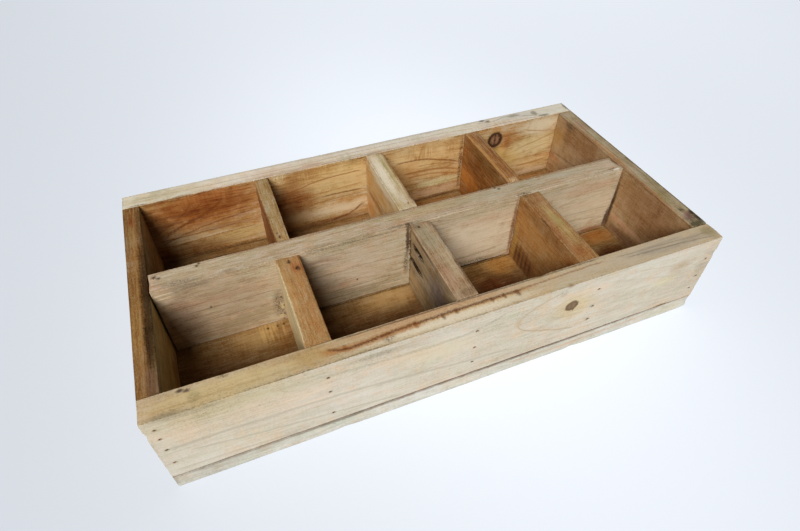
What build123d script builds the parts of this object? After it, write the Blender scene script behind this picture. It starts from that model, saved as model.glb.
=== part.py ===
from build123d import *
import math
import os

# A printers tray: an open box of reclaimed softwood boards, nailed together and split
# into two rows of four compartments by one long divider and six cross dividers.
# X runs along the tray, Y from its front to its back, Z up. The origin is the middle
# of the underside. Every size is in millimetres.

# Outer size of the tray
tray_length = 500.0
tray_depth = 258.0
tray_height = 96.0

# Thickness of the boards of the box
bottom_thickness = 17.0
front_wall_thickness = 20.5
back_wall_thickness = 19.5
left_end_thickness = 15.0
right_end_thickness = 17.0

# The long divider stands a little behind the middle and was sawn a little short
long_divider_thickness = 22.0
long_divider_shift = 1.3
long_divider_end_gap = 0.9

# Thickness of the cross dividers. The back left one is thinner at the long divider.
front_left_thickness = 20.7
front_middle_thickness = 20.2
front_right_thickness = 20.8
back_left_thickness = 13.8
back_left_thin_end = 11.8
back_middle_thickness = 18.6
back_right_thickness = 15.4

# How far each cross divider was nailed off its even place, positive to the right
front_left_shift = -3.3
front_middle_shift = 4.0
front_right_shift = 4.3
back_left_shift = -1.2
back_middle_shift = 2.4
back_right_shift = 1.1

# The gap between the two bottom boards, which meet under the long divider
bottom_joint_gap = 0.4

# Every edge is worn off, and the lower end corners of the bottom are worn round
worn_edge = 1.0
worn_left_corner = 3.0
worn_right_corner = 7.0

# Wane on the upper inner edge of the left end wall, full size at its front end
wane_width = 8.5
wane_drop = 5.5

# A chip knocked off the outer top edge of the right end wall
chip_length = 20.0
chip_depth = 3.0
chip_from_front = 31.0

# Two drying cracks in the left face of the front middle divider: distance from the
# long divider, height below the top, length and half width
upper_crack = dict(from_divider=21.0, below_top=17.0, length=22.0, half_width=1.3)
lower_crack = dict(from_divider=17.5, below_top=37.0, length=29.0, half_width=1.5)
crack_depth = 6.0

# Wire nails, their heads punched just under the wood. Their round is drawn as a
# polygon of this many sides.
nail_sides = 8
nail_length = 40.0
nail_shank_radius = 1.1
nail_head_radius = 1.9
nail_head_thickness = 1.0
nail_point_length = 3.0
nail_sink = 0.5

# Heights of the nails in each upright row, as shares of the height of the wall
front_left_corner_rows = [0.25, 0.50, 0.70, 0.86]
front_right_corner_rows = [0.18, 0.40, 0.69]
front_left_rows = [0.16, 0.55, 0.79]
front_middle_rows = [0.21, 0.47, 0.75]
front_right_rows = [0.27, 0.50, 0.78]
back_corner_rows = [0.22, 0.50, 0.78]
back_divider_rows = [0.30, 0.72]
end_wall_rows = [0.30, 0.70]

# Slanted nails from the tops of the cross dividers into the long divider: side shift
# from the middle of the board, and distance of the head from the long divider
front_left_toe_nails = [(0.4, 6.3), (5.4, 16.0)]
front_middle_toe_nails = [(-3.0, 6.2)]
back_left_toe_nails = [(-1.6, 5.7)]
back_middle_toe_nails = [(3.2, 8.1)]
toe_nail_slant = 30.0
toe_nail_tip_clearance = 2.0

# Nails driven up through the bottom: how many along each wall, and their distance
# from the joint of the two boards
bottom_nails_in_row = 3
bottom_nail_from_joint = 5.5

# Places that follow from the sizes above
left_side = -tray_length / 2
right_side = tray_length / 2
front_side = -tray_depth / 2
back_side = tray_depth / 2
inner_left = left_side + left_end_thickness
inner_right = right_side - right_end_thickness
inner_front = front_side + front_wall_thickness
inner_back = back_side - back_wall_thickness
wall_height = tray_height - bottom_thickness
divider_left = inner_left + long_divider_end_gap
divider_front = long_divider_shift - long_divider_thickness / 2
divider_back = long_divider_shift + long_divider_thickness / 2
left_end_middle = (left_side + inner_left) / 2
right_end_middle = (inner_right + right_side) / 2
compartment_step = (inner_right - inner_left) / 4

# Middle of each cross divider along the tray
front_left_middle = inner_left + compartment_step + front_left_shift
front_middle_middle = inner_left + 2 * compartment_step + front_middle_shift
front_right_middle = inner_left + 3 * compartment_step + front_right_shift
back_left_middle = inner_left + compartment_step + back_left_shift
back_middle_middle = inner_left + 2 * compartment_step + back_middle_shift
back_right_middle = inner_left + 3 * compartment_step + back_right_shift


def upright_board(left, right, front, back):
    # A sawn board that stands on the bottom, its edges worn off
    size = (right - left, back - front, wall_height)
    middle = ((left + right) / 2, (front + back) / 2, bottom_thickness + wall_height / 2)
    blank = Pos(*middle) * Box(*size)
    return chamfer(blank.edges(), worn_edge)


def cross_divider(middle, front, back, front_thickness, back_thickness):
    # A board across the tray, which may be thinner at one end
    corners = [
        (middle - front_thickness / 2, front),
        (middle + front_thickness / 2, front),
        (middle + back_thickness / 2, back),
        (middle - back_thickness / 2, back),
    ]
    plan = Pos(0, 0, bottom_thickness) * make_face(Polyline(corners, close=True))
    blank = extrude(plan, amount=wall_height)
    return chamfer(blank.edges(), worn_edge)


def front_divider(middle, thickness):
    return cross_divider(middle, inner_front, divider_front, thickness, thickness)


def back_divider(middle, thickness, thin_end):
    return cross_divider(middle, divider_back, inner_back, thin_end, thickness)


def bottom_board(front, back):
    # A board of the bottom, with the lower corners of its ends worn well round
    middle = (0, (front + back) / 2, bottom_thickness / 2)
    blank = Pos(*middle) * Box(tray_length, back - front, bottom_thickness)
    for corner, radius in ((0, worn_left_corner), (-1, worn_right_corner)):
        lower_edges = blank.edges().filter_by(Axis.Y).group_by(Axis.Z)[0]
        blank = fillet(lower_edges.sort_by(Axis.X)[corner], radius)
    return blank


def wane():
    # The wood that the round of the tree left off: a long wedge that starts at a
    # point at the back and spreads to the front, a little past the end of the board
    spread = 1.1
    near = inner_back - (inner_back - inner_front) * spread
    width = wane_width * spread
    drop = wane_drop * spread
    wide_end = Plane(origin=(inner_left, near, tray_height), x_dir=(1, 0, 0), z_dir=(0, -1, 0))
    corners = [(-width, 0), (0, -drop), (width, 0), (0, drop)]
    start = Vertex(inner_left, inner_back, tray_height)
    return loft([wide_end * make_face(Polyline(corners, close=True)), start])


def chip():
    # A shallow scallop across the edge, chip_length long and chip_depth deep
    radius = (chip_length**2 / 4 + chip_depth**2) / (2 * chip_depth)
    out = (radius - chip_depth) / math.sqrt(2)
    middle = (right_side + out, front_side + chip_from_front, tray_height + out)
    return Pos(*middle) * Sphere(radius)


def crack(sizes):
    # An open crack along the grain, pointed at both ends
    face = front_middle_middle - front_middle_thickness / 2
    along = divider_front - sizes["from_divider"]
    height = tray_height - sizes["below_top"]
    mouth = Plane(origin=(face, along, height), x_dir=(0, 1, 0), z_dir=(-1, 0, 0))
    half_length = sizes["length"] / 2
    half_width = sizes["half_width"]
    upper = ThreePointArc((-half_length, 0), (0, half_width), (half_length, 0))
    lower = ThreePointArc((half_length, 0), (0, -half_width), (-half_length, 0))
    return extrude(mouth * make_face([upper, lower]), amount=crack_depth, both=True)


def nail_shape(length, head_top):
    # Head, shank and point, standing on the point
    head = Pos(0, 0, -nail_head_thickness) * RegularPolygon(nail_head_radius, nail_sides)
    shank = Pos(0, 0, nail_point_length - length) * RegularPolygon(nail_shank_radius, nail_sides)
    whole = extrude(shank, amount=length - nail_point_length)
    whole += extrude(head, amount=nail_head_thickness + head_top)
    whole += loft([shank.face(), Vertex(0, 0, -length)])
    return whole


class Nail:
    # A nail punched in at a point of a face, and the hole that it fills up to its head
    def __init__(self, point, outward, length=nail_length, sink=nail_sink):
        place = Plane(origin=point, z_dir=outward) * Pos(0, 0, -sink)
        self.body = place * nail_shape(length, 0)
        self.hole = place * nail_shape(length, sink + nail_head_radius)


def wall_nails(x, side, outward, rows):
    # An upright row of nails through the front or the back wall
    heights = [bottom_thickness + share * wall_height for share in rows]
    return [Nail((x, side, height), (0, outward, 0)) for height in heights]


def end_nails(side, outward):
    # Nails through an end wall into the end of the long divider
    heights = [bottom_thickness + share * wall_height for share in end_wall_rows]
    return [Nail((side, long_divider_shift, height), (outward, 0, 0)) for height in heights]


def toe_nails(middle, face, outward, places):
    # Nails that slant down through a cross divider and end inside the long divider,
    # sunk until the whole head is under the wood
    slant = math.radians(toe_nail_slant)
    direction = (0, outward * math.sin(slant), math.cos(slant))
    sink = nail_sink + nail_head_radius * math.tan(slant)
    inside = long_divider_thickness / 2 - toe_nail_tip_clearance
    nails = []
    for side, away in places:
        head = (middle + side, face + outward * away, tray_height)
        length = (away + inside) / math.sin(slant) - sink
        nails.append(Nail(head, direction, length, sink))
    return nails


def bottom_nails(wall_line, joint_line):
    # Nails up through one bottom board into its wall, the long divider and both ends
    step = (inner_right - inner_left) / bottom_nails_in_row
    row = [inner_left + step * (number + 0.45) for number in range(bottom_nails_in_row)]
    places = [(x, line) for line in (wall_line, joint_line) for x in row]
    middle_line = (wall_line + joint_line) / 2
    places += [(left_end_middle, middle_line), (right_end_middle, middle_line)]
    return [Nail((x, y, 0), (0, 0, -1)) for x, y in places]


boards = {
    "front_wall": upright_board(left_side, right_side, front_side, inner_front),
    "back_wall": upright_board(left_side, right_side, inner_back, back_side),
    "left_end_wall": upright_board(left_side, inner_left, inner_front, inner_back) - wane(),
    "right_end_wall": upright_board(inner_right, right_side, inner_front, inner_back) - chip(),
    "long_divider": upright_board(divider_left, inner_right, divider_front, divider_back),
    "front_left_divider": front_divider(front_left_middle, front_left_thickness),
    "front_middle_divider": front_divider(front_middle_middle, front_middle_thickness)
    - crack(upper_crack)
    - crack(lower_crack),
    "front_right_divider": front_divider(front_right_middle, front_right_thickness),
    "back_left_divider": back_divider(back_left_middle, back_left_thickness, back_left_thin_end),
    "back_middle_divider": back_divider(
        back_middle_middle, back_middle_thickness, back_middle_thickness
    ),
    "back_right_divider": back_divider(
        back_right_middle, back_right_thickness, back_right_thickness
    ),
    "front_bottom_board": bottom_board(front_side, long_divider_shift - bottom_joint_gap / 2),
    "back_bottom_board": bottom_board(long_divider_shift + bottom_joint_gap / 2, back_side),
}

nails = {
    "front_corner_nails": wall_nails(left_end_middle, front_side, -1, front_left_corner_rows)
    + wall_nails(right_end_middle, front_side, -1, front_right_corner_rows),
    "front_divider_nails": wall_nails(front_left_middle, front_side, -1, front_left_rows)
    + wall_nails(front_middle_middle, front_side, -1, front_middle_rows)
    + wall_nails(front_right_middle, front_side, -1, front_right_rows),
    "back_corner_nails": wall_nails(left_end_middle, back_side, 1, back_corner_rows)
    + wall_nails(right_end_middle, back_side, 1, back_corner_rows),
    "back_divider_nails": wall_nails(back_left_middle, back_side, 1, back_divider_rows)
    + wall_nails(back_middle_middle, back_side, 1, back_divider_rows)
    + wall_nails(back_right_middle, back_side, 1, back_divider_rows),
    "end_wall_nails": end_nails(left_side, -1) + end_nails(right_side, 1),
    "toe_nails": toe_nails(front_left_middle, divider_front, -1, front_left_toe_nails)
    + toe_nails(front_middle_middle, divider_front, -1, front_middle_toe_nails)
    + toe_nails(back_left_middle, divider_back, 1, back_left_toe_nails)
    + toe_nails(back_middle_middle, divider_back, 1, back_middle_toe_nails),
    "front_bottom_nails": bottom_nails(
        front_side + front_wall_thickness / 2, long_divider_shift - bottom_nail_from_joint
    ),
    "back_bottom_nails": bottom_nails(
        back_side - back_wall_thickness / 2, long_divider_shift + bottom_nail_from_joint
    ),
}

# Every board gets a hole for each nail that reaches it
every_hole = [nail.hole for group in nails.values() for nail in group]
for name, solid in boards.items():
    reached = [hole for hole in every_hole if hole.bounding_box().overlaps(solid.bounding_box())]
    boards[name] = solid - reached

os.makedirs("parts", exist_ok=True)
for name, solid in boards.items():
    export_step(solid, f"parts/{name}.step")
for name, group in nails.items():
    export_step(Compound([nail.body.solid() for nail in group]), f"parts/{name}.step")
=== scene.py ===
import bpy
import bmesh
import math
import numpy as np
from mathutils import Matrix, Vector


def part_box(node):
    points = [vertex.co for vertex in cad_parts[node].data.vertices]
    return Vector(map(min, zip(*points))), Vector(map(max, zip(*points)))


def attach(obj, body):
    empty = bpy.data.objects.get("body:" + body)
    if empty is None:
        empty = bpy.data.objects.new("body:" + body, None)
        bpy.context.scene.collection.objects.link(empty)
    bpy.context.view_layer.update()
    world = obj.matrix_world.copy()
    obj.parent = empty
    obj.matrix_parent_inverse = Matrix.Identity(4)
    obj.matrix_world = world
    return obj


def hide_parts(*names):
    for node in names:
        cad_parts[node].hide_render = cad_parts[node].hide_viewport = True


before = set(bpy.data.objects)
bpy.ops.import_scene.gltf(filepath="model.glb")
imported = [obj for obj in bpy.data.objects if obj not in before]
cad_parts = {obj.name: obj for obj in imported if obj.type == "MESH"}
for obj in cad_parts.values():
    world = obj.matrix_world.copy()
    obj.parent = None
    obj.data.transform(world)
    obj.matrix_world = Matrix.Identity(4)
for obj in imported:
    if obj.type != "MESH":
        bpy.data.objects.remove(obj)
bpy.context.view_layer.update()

# Sizes below are millimetres in the tray's own frame, and colours are 0 to 255
mm = 0.001
print("frame loaded:", len(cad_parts), "nodes")


def rgb(red, green, blue):
    # Screen colour to the linear colour that the shaders take
    shares = [value / 255 for value in (red, green, blue)]
    return tuple([s / 12.92 if s <= 0.04045 else ((s + 0.055) / 1.055) ** 2.4 for s in shares] + [1.0])


def corners(node):
    # Lowest and highest corner of a CAD node, in millimetres
    low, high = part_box(node)
    return np.array(low) / mm, np.array(high) / mm


# Smooth random values, the same on every run

def lattice(cell, seed):
    x, y, z = (cell[:, axis].astype(np.int64) for axis in range(3))
    mixed = (x * 374761393 + y * 668265263 + z * 1274126177 + seed * 982451653) & 0xFFFFFFFF
    mixed = ((mixed ^ (mixed >> 13)) * 1103515245) & 0xFFFFFFFF
    return ((mixed ^ (mixed >> 16)) & 0xFFFF) / 65535


def softNoise(points, period, seed):
    # 0 to 1, changing over about one period (three numbers, one for each axis)
    scaled = points / np.array(period)
    cell = np.floor(scaled)
    share = scaled - cell
    share = share * share * (3 - 2 * share)
    total = np.zeros(len(points))
    for corner in np.ndindex(2, 2, 2):
        weight = np.prod(np.where(np.array(corner) == 1, share, 1 - share), axis=1)
        total += weight * lattice(cell + np.array(corner), seed)
    return total


# Boards

edgeLines = [0, 0.35, 0.8, 1.4, 2.2]    # where the mesh has its lines beside a worn edge
leastGap = 0.12                         # lines closer than this are one line
dent = {
    "reach": (1.5, 4.0),                # from and to
    "depth": (0.3, 0.9),
    "alongEdge": 0.5,                   # below 1, a dent is longer along its edge
}


def gridLines(low, high, step, fineFrom=None, fineTo=None, fineStep=None):
    # Lines across a board: close together at both edges, even between them
    near = [low + line for line in edgeLines] + [high - line for line in edgeLines]
    count = max(2, round((high - low - 2 * edgeLines[-1]) / step))
    lines = np.concatenate([near, np.linspace(low + edgeLines[-1], high - edgeLines[-1], count + 1)])
    if fineFrom is not None:
        lines = np.concatenate([lines, np.arange(fineFrom, fineTo, fineStep)])
    lines = np.unique(np.round(lines, 3))
    return lines[np.concatenate([[True], np.diff(lines) > leastGap])]


def skinOfBox(lines):
    # Every grid point on the outside of a box, and the quads between them
    shape = tuple(len(axisLines) for axisLines in lines)
    onSkin = np.zeros(shape, bool)
    for axis in range(3):
        for side in (0, -1):
            onSkin[tuple(side if each == axis else slice(None) for each in range(3))] = True
    number = np.full(shape, -1)
    number[onSkin] = np.arange(onSkin.sum())
    points = np.stack(np.meshgrid(*lines, indexing="ij"), -1)[onSkin]
    quads = []
    for axis in range(3):
        for side in (0, -1):
            sheet = np.take(number, side, axis)
            a, b, c, d = sheet[:-1, :-1], sheet[1:, :-1], sheet[1:, 1:], sheet[:-1, 1:]
            outward = (side == -1) != (axis == 1)
            quads.append(np.stack((a, b, c, d) if outward else (a, d, c, b), -1).reshape(-1, 4))
    return points, np.concatenate(quads)


def wearEdges(points, low, high, radius):
    # The box with its edges rounded, by a radius that differs from point to point
    inner = np.clip(points, low + radius, high - radius)
    out = points - inner
    normal = out / np.linalg.norm(out, axis=1, keepdims=True)
    return inner + normal * radius, normal


def knockEdges(points, low, high, seed, knocks):
    # Small dents along the edges, pushed towards the middle of the board
    dice = np.random.default_rng(seed)
    for _ in range(knocks):
        along = dice.integers(3)
        spot = np.where(dice.random(3) < 0.5, low, high)
        spot[along] = low[along] + dice.random() * (high[along] - low[along])
        reach, depth = dice.uniform(*dent["reach"]), dice.uniform(*dent["depth"])
        inward = (low + high) / 2 - spot
        inward[along] = 0
        inward = np.sign(inward) / math.sqrt(2)
        stretch = np.ones(3)
        stretch[along] = dent["alongEdge"]
        far = np.linalg.norm((points - spot) * stretch, axis=1)
        points = points + inward * (depth * np.exp(-((far / reach) ** 2)))[:, None]
    return points


def meshFrom(name, points, faces):
    # A mesh object from points in millimetres
    mesh = bpy.data.meshes.new(name)
    mesh.from_pydata((points * mm).tolist(), [], [list(face) for face in faces])
    mesh.update()
    piece = bpy.data.objects.new(name, mesh)
    bpy.context.scene.collection.objects.link(piece)
    return piece


def cutAway(piece, cutter):
    # Takes the cutter's space out of the piece
    cut = piece.modifiers.new("cut", "BOOLEAN")
    cut.operation = "DIFFERENCE"
    cut.solver = "EXACT"
    cut.object = cutter
    bpy.context.view_layer.update()
    result = bpy.data.meshes.new_from_object(piece.evaluated_get(bpy.context.evaluated_depsgraph_get()))
    piece.modifiers.remove(cut)
    old = piece.data
    piece.data = result
    bpy.data.meshes.remove(old)
    bpy.data.objects.remove(cutter)


def smoothShade(piece):
    piece.data.shade_smooth()
    piece.data.set_sharp_from_angle(angle=math.radians(35))


# Nails

nail = {
    "sides": 14,
    "headRadius": 1.05,
    "headThickness": 1.0,
    "shankRadius": 1.1,
    "point": 3.0,
    "pocket": 0.08,         # how much wider than the head its hole is
}


def turned(profile, sides, wobble=0.0, seed=1):
    # A turned shape on the Z axis, from its top middle down to its lower tip
    dice = np.random.default_rng(seed)
    points = [(0, 0, profile[0][1])]
    for radius, height in profile[1:-1]:
        for side in range(sides):
            angle = 2 * math.pi * side / sides
            reach = radius * (1 + wobble * (dice.random() - 0.5))
            points.append((reach * math.cos(angle), reach * math.sin(angle), height))
    points.append((0, 0, profile[-1][1]))
    rings, last = len(profile) - 2, len(points) - 1
    faces = []
    for side in range(sides):
        after = (side + 1) % sides
        faces.append((0, 1 + side, 1 + after))
        for ring in range(rings - 1):
            top, low = 1 + ring * sides, 1 + (ring + 1) * sides
            faces.append((top + side, low + side, low + after, top + after))
        foot = 1 + (rings - 1) * sides
        faces.append((last, foot + after, foot + side))
    return np.array(points, float), faces


def nailsOf(node):
    # Head middle, direction out of the wood and length of every nail of a CAD node
    shape = bmesh.new()
    shape.from_mesh(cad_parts[node].data)
    bmesh.ops.remove_doubles(shape, verts=shape.verts, dist=1e-6)
    left = set(shape.verts)
    found = []
    while left:
        island, edge = set(), [left.pop()]
        while edge:
            vert = edge.pop()
            island.add(vert)
            beside = [link.other_vert(vert) for link in vert.link_edges]
            edge += [other for other in beside if other in left]
            left -= set(beside)
        points = np.array(sorted(vert.co[:] for vert in island)) / mm   # sorted, so every run is the same
        middle = points.mean(axis=0)
        axis = np.linalg.svd(points - middle)[2][0]
        along = (points - middle) @ axis
        spread = np.linalg.norm(points - middle - np.outer(along, axis), axis=1)
        if spread[along > along.max() - 0.1].max() < spread[along < along.min() + 0.1].max():
            axis, along = -axis, -along
        head = points[along > along.max() - 0.1].mean(axis=0)
        found.append((head, axis, along.max() - along.min()))
    shape.free()
    return sorted(found, key=lambda one: tuple(np.round(one[0], 2)))


def placed(points, head, axis):
    turn = Vector((0, 0, 1)).rotation_difference(Vector(axis)).to_matrix()
    return points @ np.array(turn).T + head


def joined(shapes):
    # One list of points and faces from several
    allPoints, allFaces, count = [], [], 0
    for points, faces in shapes:
        allPoints.append(points)
        allFaces += [tuple(index + count for index in face) for face in faces]
        count += len(points)
    return np.concatenate(allPoints), allFaces


def nailShape(length):
    head, shank, thick = nail["headRadius"], nail["shankRadius"], nail["headThickness"]
    profile = [(0, 0), (head * 0.55, -0.02), (head * 0.9, -0.12), (head, -0.35), (head, -thick * 0.75)]
    profile += [(shank * 1.15, -thick), (shank, -thick - 0.4), (shank, nail["point"] - length), (0, -length)]
    return turned(profile, nail["sides"])


def holeShape(length, seed):
    gap = nail["pocket"]
    head, shank, thick = nail["headRadius"] + gap, nail["shankRadius"] + 0.04, nail["headThickness"]
    profile = [(0, 4.0), (head * 1.08, 4.0), (head * 1.05, 0.3), (head, 0.0), (head, -thick - 0.05)]
    profile += [(shank, -thick - 0.1), (shank, nail["point"] - length), (0, -length - 0.1)]
    return turned(profile, nail["sides"], 0.04, seed)


nailNodes = [node for node in sorted(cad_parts) if node.endswith("nails")]
nailPlaces = {node: nailsOf(node) for node in nailNodes}
everyNail = [place for node in nailNodes for place in nailPlaces[node]]
print("nails found:", len(everyNail))


def nailHoles(low, high):
    # The holes of all nails that reach into this box
    holes = []
    for number, (head, axis, length) in enumerate(everyNail):
        line = head - np.outer(np.linspace(-0.6, length, 60), axis)
        if np.any(np.all((line > low - 0.5) & (line < high + 0.5), axis=1)):
            points, faces = holeShape(length, number)
            holes.append((placed(points, head, axis), faces))
    return holes


# Timber

def put(tree, kind, inputs=None, **options):
    # A node with its options set and its inputs linked or filled in
    node = tree.nodes.new(kind)
    for name, value in options.items():
        setattr(node, name, value)
    for name, value in (inputs or {}).items():
        if isinstance(value, bpy.types.NodeSocket):
            tree.links.new(value, node.inputs[name])
        else:
            node.inputs[name].default_value = value
    return node


def sums(tree, operation, *values):
    return put(tree, "ShaderNodeMath", dict(enumerate(values)), operation=operation).outputs[0]


def vectors(tree, operation, *values, output=0):
    return put(tree, "ShaderNodeVectorMath", dict(enumerate(values)), operation=operation).outputs[output]


def apart(tree, vector):
    # The X, Y and Z of a vector
    return put(tree, "ShaderNodeSeparateXYZ", {"Vector": vector}).outputs


def inMillimetres(tree, vector):
    scaled = vectors(tree, "SCALE", vector)
    scaled.node.inputs["Scale"].default_value = 1 / mm
    return scaled


def noiseAt(tree, place, scale, detail, rough, shift=0.0, output="Fac"):
    inputs = {"Vector": place, "Location": (shift, shift, shift), "Scale": scale}
    spread = put(tree, "ShaderNodeMapping", inputs).outputs[0]
    inputs = {"Vector": spread, "Scale": 1.0, "Detail": detail, "Roughness": rough}
    return put(tree, "ShaderNodeTexNoise", inputs).outputs[output]


def noiseOn(tree, value, scale, detail):
    # Noise along a single number
    inputs = {"W": value, "Scale": scale, "Detail": detail}
    return put(tree, "ShaderNodeTexNoise", inputs, noise_dimensions="1D").outputs[0]


def stepBetween(tree, value, low, high, fromShare=0.0, toShare=1.0):
    inputs = {"Value": value, "From Min": low, "From Max": high, "To Min": fromShare, "To Max": toShare}
    return put(tree, "ShaderNodeMapRange", inputs, interpolation_type="SMOOTHSTEP").outputs[0]


def blended(tree, share, first, second, mode="MIX"):
    # Numbers stand for the sockets, because several of this node's sockets have the same name
    inputs = {0: share, 6: first, 7: second}
    return put(tree, "ShaderNodeMix", inputs, data_type="RGBA", blend_type=mode).outputs[2]


def ramp(tree, value, stops):
    node = put(tree, "ShaderNodeValToRGB", {"Fac": value})
    bar = node.color_ramp
    while len(bar.elements) < len(stops):
        bar.elements.new(0.5)
    for element, (position, colour) in zip(bar.elements, stops):
        element.position = position
        element.color = colour
    return node.outputs[0]


plainLook = {
    "wear": 0.8,            # how much the edges are worn
    "knocks": 10,
    "wander": 14.0,         # how far the rings stray along the board
    "ripple": 1.4,
    "pith": (30.0, -60.0),  # the middle of the tree, seen from the board's end
    "lean": (0.0, 0.0),
    "ringGap": 3.4,
    "contrast": 1.0,
    "ringTone": 0.25,
    "fibreTone": 1.5,
    "streakTone": 0.9,
    "broadTone": 0.5,
    "sawn": 0.3,
    "grit": 0.8,
    "blotch": 0.3,
    "grime": 0.4,
    "grimeTint": (0.6, 0.6, 0.62),
    "warm": (1.05, 0.96, 0.88),
    "cool": (0.97, 1.01, 0.98),
    "drift": 0.8,
    "endPale": (226, 214, 198),
    "endDark": (150, 132, 112),
    "rust": 0.5,
    "rustReach": 2.7,
    "rustColour": (92, 64, 46),
    "specks": 0.35,
    "speckColour": (96, 82, 66),
    "edgeDirt": 0.3,
    "dirtColour": (92, 74, 54),
    "bump": 0.3,
    "shine": 0.25,
    "stains": {},
    "veins": {},
    "knots": [],
}

# For each noise: scale along, across and up the board, detail, roughness, share of the seed
woodNoises = {
    "wander": ((0.0045, 0.011, 0.011), 1.5, 0.5, 3.1),
    "ripple": ((0.03, 0.13, 0.13), 2.0, 0.5, 1.7),
    "coarse": ((0.09, 0.09, 0.09), 2.5, 0.5, 1.0),
    "close": ((0.5, 0.5, 0.5), 2.5, 0.5, 1.9),
    "dots": ((0.7, 1.1, 1.1), 2.0, 0.6, 8.1),
    "fibre": ((0.06, 0.75, 0.75), 3.0, 0.65, 2.3),
    "streak": ((0.011, 0.24, 0.24), 4.0, 0.62, 4.7),
    "weather": ((0.022, 0.1, 0.1), 4.0, 0.68, 6.1),
    "broad": ((0.012, 0.022, 0.022), 2.5, 0.55, 5.9),
    "saw": ((0.42, 0.035, 0.035), 2.5, 0.6, 1.3),
    "drift": ((0.014, 0.07, 0.07), 2.5, 0.55, 7.3),
    "pores": ((0.1, 0.8, 0.8), 3.0, 0.6, 1.0),
}
shadeSteps = ((-0.3, 0.25), (0.0, 0.0), (0.4, 0.08), (1.1, 0.15))   # how much darker and greyer
shadeStops = (0.05, 0.4, 0.7, 1.0)
ringStops = ((0.0, 0.0), (0.45, 0.15), (0.84, 1.0), (1.0, 0.0))


def woodNoise(tree, look, place, name, output="Fac"):
    scale, detail, rough, share = woodNoises[name]
    return noiseAt(tree, place, scale, detail, rough, look["seed"] * share, output)


def shades(colour, contrast):
    # Four linear colours of one timber, from its pale early wood to its darkest lines
    base = np.array(rgb(*colour)[:3])
    found = []
    for darker, greyer in shadeSteps:
        shade = base ** (1.0 + darker * contrast)
        shade = shade * (1 - greyer) + shade.mean() * greyer
        found.append((*shade.tolist(), 1.0))
    return found


def stain(colour, middle, size, strength=1.0, by=None, soft=0.6, turn=0.0, rag=1.0, thick=3.0):
    # A patch of another colour: an oval on a face, or a ball where its middle has three numbers
    return dict(colour=colour, middle=middle, size=size, strength=strength, by=by, soft=soft, turn=turn,
                rag=rag, thick=thick)


def vein(colour, line, width, strength, soft=0.8, fray=1.2, ends=8.0, broken=0.0):
    # A drawn line. Its points are (along the grain, across the grain).
    return dict(colour=colour, line=line, width=width, strength=strength, soft=soft, fray=fray, ends=ends,
                broken=broken)


def knot(middle, size, colour, rim, rise, reach, split, turn=0.0):
    # A branch sawn across: the rings of the board swell round it, and its heart may have split
    return dict(middle=middle, size=size, colour=colour, rim=rim, rise=rise, reach=reach, split=split,
                turn=turn)


def laidOn(groups, low, high):
    # The marks of a look, each with its face, and with the plane of that face as its third number
    laid = []
    for side, marks in groups.items():
        axis = "xyz".index(side[1])
        plane = round(float((low if side[0] == "-" else high)[axis]), 2)
        for mark in marks:
            mark = {**mark, "face": side}
            if len(mark.get("middle", ())) == 2:
                mark["middle"] = (*mark["middle"][:axis], plane, *mark["middle"][axis:])
                mark["size"] = (*mark["size"][:axis], mark["thick"], *mark["size"][axis:])
            laid.append(mark)
    return laid


def ovalOf(tree, place, mark):
    # 0 in the middle of a patch and 1 on its outline
    if mark["turn"]:
        thin = "XYZ"[int(np.argmin(mark["size"]))]
        inputs = {"Vector": place, "Center": mark["middle"], "Angle": math.radians(-mark["turn"])}
        place = put(tree, "ShaderNodeVectorRotate", inputs, rotation_type=thin + "_AXIS").outputs[0]
    shrink = tuple(1 / size for size in mark["size"])
    shift = tuple(-middle / size for middle, size in zip(mark["middle"], mark["size"]))
    return vectors(tree, "LENGTH", vectors(tree, "MULTIPLY_ADD", place, shrink, shift), output=1)


def facing(tree, at, side):
    # 1 where the surface looks to a side such as "+z"
    if side not in at["facing"]:
        part = at["normal"]["xyz".index(side[1])]
        if side[0] == "-":
            part = sums(tree, "MULTIPLY", part, -1.0)
        at["facing"][side] = stepBetween(tree, part, 0.45, 0.85)
    return at["facing"][side]


def stainShare(tree, at, mark):
    # How much of a stain shows: a ragged oval, broken up by dots, streaks or saw marks
    radius = sorted(mark["size"])[1]
    rough = at["close"] if radius < 7 else at["loose"]
    reach = min(9.0, radius * 1.2) * mark["rag"]
    ragged = vectors(tree, "MULTIPLY_ADD", rough, (reach, reach, reach), at["place"])
    oval = ovalOf(tree, ragged, mark)
    share = stepBetween(tree, oval, 1.0 + mark["soft"] * 0.4, 1.0 - mark["soft"], 0.0, mark["strength"])
    if mark["by"]:
        share = sums(tree, "MULTIPLY", share, stepBetween(tree, at[mark["by"]], 0.58, 0.42, 0.1, 1.0))
    return share


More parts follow.
